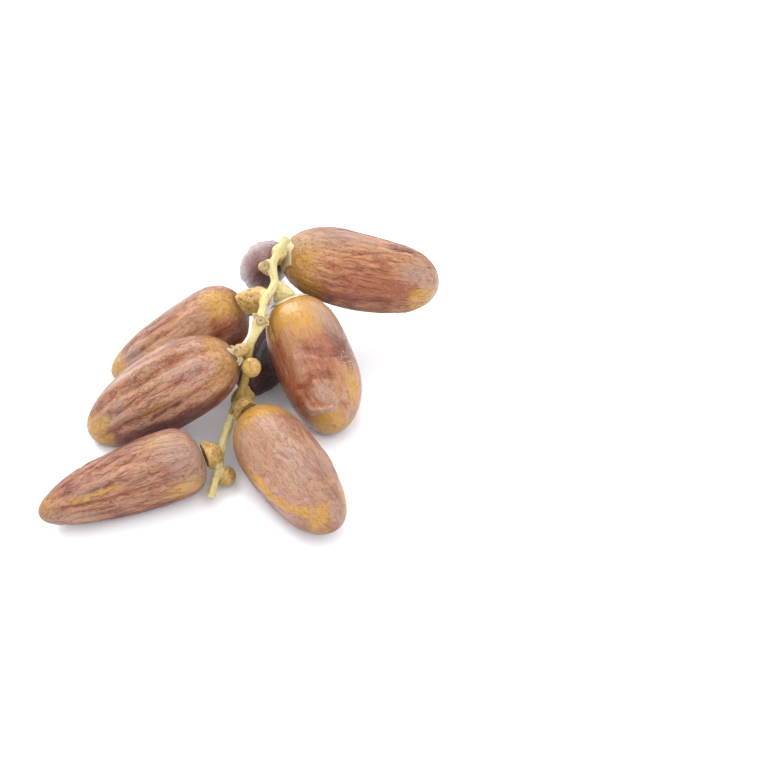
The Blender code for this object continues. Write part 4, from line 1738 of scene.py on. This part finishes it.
            Stroke(((0.82, 11), (0.55, 20), (0.30, 20)), 0.7, -0.45, Tone.RUSSET, 0.9),
            Stroke(((0.74, 70), (0.53, 59), (0.33, 44)), 0.6, -0.35, Tone.PLUM_AND_SHADE, 0.6),
            Stroke(((0.70, 40), (0.50, 42), (0.34, 34)), 0.5, -0.3, Tone.RUSSET, 0.8),
            Stroke(((0.06, 6), (0.14, 2), (0.20, -8)), 0.7, 0.35, Tone.AMBER, 0.6),
            Stroke(((0.84, 30), (0.76, 36), (0.70, 30)), 0.6, -0.3, Tone.RUSSET, 0.7)),
        finish=SkinFinish(ridge=seen(236, 180, 136), valley=seen(188, 98, 44), stretch=1.6)),
    DateFruit(
        name="date_7", base=(3.3, 19.2, 27.0), tip=(-0.4, 50.0, 0.7), radius=7.3, flatness=0.86,
        widest=0.46, base_power=2.6, tip_power=2.3, bow=0.3, seed=71, grooves=14, groove_depth=0.50,
        folds=(Fold(0.50, 40, 12, 2.0, -0.5),),
        wrinkle=0.26, crowd=1.3,
        patches=laid(
            amber=((1.0, 0, 3, 60, 0.2),),
            russet=((0.93, 8, 4, 3, 0.8),),
            plum=((0.5, 0, 40, 60, 0.45),)),
        finish=SkinFinish(ridge=seen(168, 122, 116), valley=seen(128, 74, 70), bloom=seen(180, 142, 136))),
    # date_8 lies under the strand; its very dark ridge, valley, plum and bloom colours are painted shade
    DateFruit(
        name="date_8", base=(-1.4, -7.2, 8.3), tip=(7.8, 26.1, 2.8), radius=6.6, flatness=0.80,
        widest=0.50, base_power=2.2, tip_power=2.3, bow=0.3, seed=83, grooves=12, groove_depth=0.50,
        folds=(Fold(0.50, -30, 12, 2.0, -0.5),),
        wrinkle=0.34,
        patches=laid(
            amber=((1.0, 0, 3, 60, 0.3),),
            plum=((0.5, 0, 40, 60, 0.6),)),
        finish=SkinFinish(ridge=seen(104, 68, 58), valley=seen(72, 40, 32), plum=seen(74, 46, 44),
                          bloom=seen(120, 88, 80))),
)

STRAND = Strand(
    cups=(
        Cup(DATES[0], 1.2, 3.0, 1.2, 0.0), Cup(DATES[1], 1.1, 3.0, 1.8, 0.0, -1.0), Cup(DATES[2], 1.4, 3.4),
        Cup(DATES[3], 1.6), Cup(DATES[4], 1.1, 1.9, 1.0, 0.5), Cup(DATES[5], 1.6),
        Cup(DATES[6], 1.2, 2.2, 0.8), Cup(DATES[7], 1.3, 2.8)),
    flakes=(
        Flake((-1.2, -9.5, 23.2), (-0.80, 0.18, 0.57), 4.6, 2.0, 0.5),
        Flake((-1.3, -9.2, 23.6), (-0.45, 0.40, 0.80), 3.0, 1.6, 0.3),
        Flake((-1.4, -9.8, 22.8), (-0.62, -0.30, -0.72), 2.6, 1.3, 0.4),
        Flake((2.2, -0.8, 28.2), (-0.80, -0.10, 0.45), 1.9, 1.4, 0.4),
        Flake((3.6, -1.6, 27.6), (0.75, -0.50, -0.30), 1.8, 1.5, 0.5),
        Flake((3.8, -0.2, 27.8), (0.80, 0.10, 0.30), 1.5, 1.3, 0.3),
        Flake((2.3, -2.6, 27.4), (-0.55, -0.60, -0.50), 1.4, 1.2, 0.3)),
    collars=(Collar(DATES[0], 0.030, 0.6), Collar(DATES[1], 0.040, 0.7)),
    points=(
        (9.0, 19.4, 36.6), (7.5, 17.3, 35.4), (6.0, 14.8, 33.6), (5.3, 13.0, 32.2), (6.1, 10.0, 30.8),
        (5.4, 7.4, 29.8), (3.8, 4.8, 28.8), (2.9, -0.3, 27.4), (2.0, -3.1, 26.0), (0.3, -6.3, 23.6),
        (-0.4, -8.7, 20.4), (-1.1, -10.8, 16.2), (-2.4, -12.6, 12.4), (-3.9, -15.2, 10.4),
        (-5.0, -19.2, 8.8), (-6.0, -23.1, 7.6), (-6.8, -27.1, 6.5), (-7.2, -31.0, 5.3),
        (-8.2, -35.5, 3.7), (-8.6, -37.7, 2.9)),
    nodes=((0.0, 0.30), (0.12, 0.25), (0.24, 0.10), (0.35, 0.75), (0.50, 0.25), (0.60, 0.25),
           (0.73, 0.15), (0.88, 0.25), (1.0, 0.10)),
    scars=(Growth((2.9, -2.2, 28.0), 1.35), Growth((-4.1, -16.4, 10.9), 1.0),
           Growth((-6.9, -29.2, 7.2), 0.95), Growth((4.5, 13.5, 32.4), 1.6)),
    fruitlets=(Growth((0.8, -11.3, 21.0), 2.45), Growth((-5.4, -30.8, 2.9), 2.5)))


def main() -> None:
    """Builds the studio, the dates and the strand."""
    logging.basicConfig(level=logging.INFO, format="%(name)s: %(message)s")
    Studio().build()
    for date in DATES:
        date.build()
    STRAND.build()


if __name__ == "__main__":
    main()
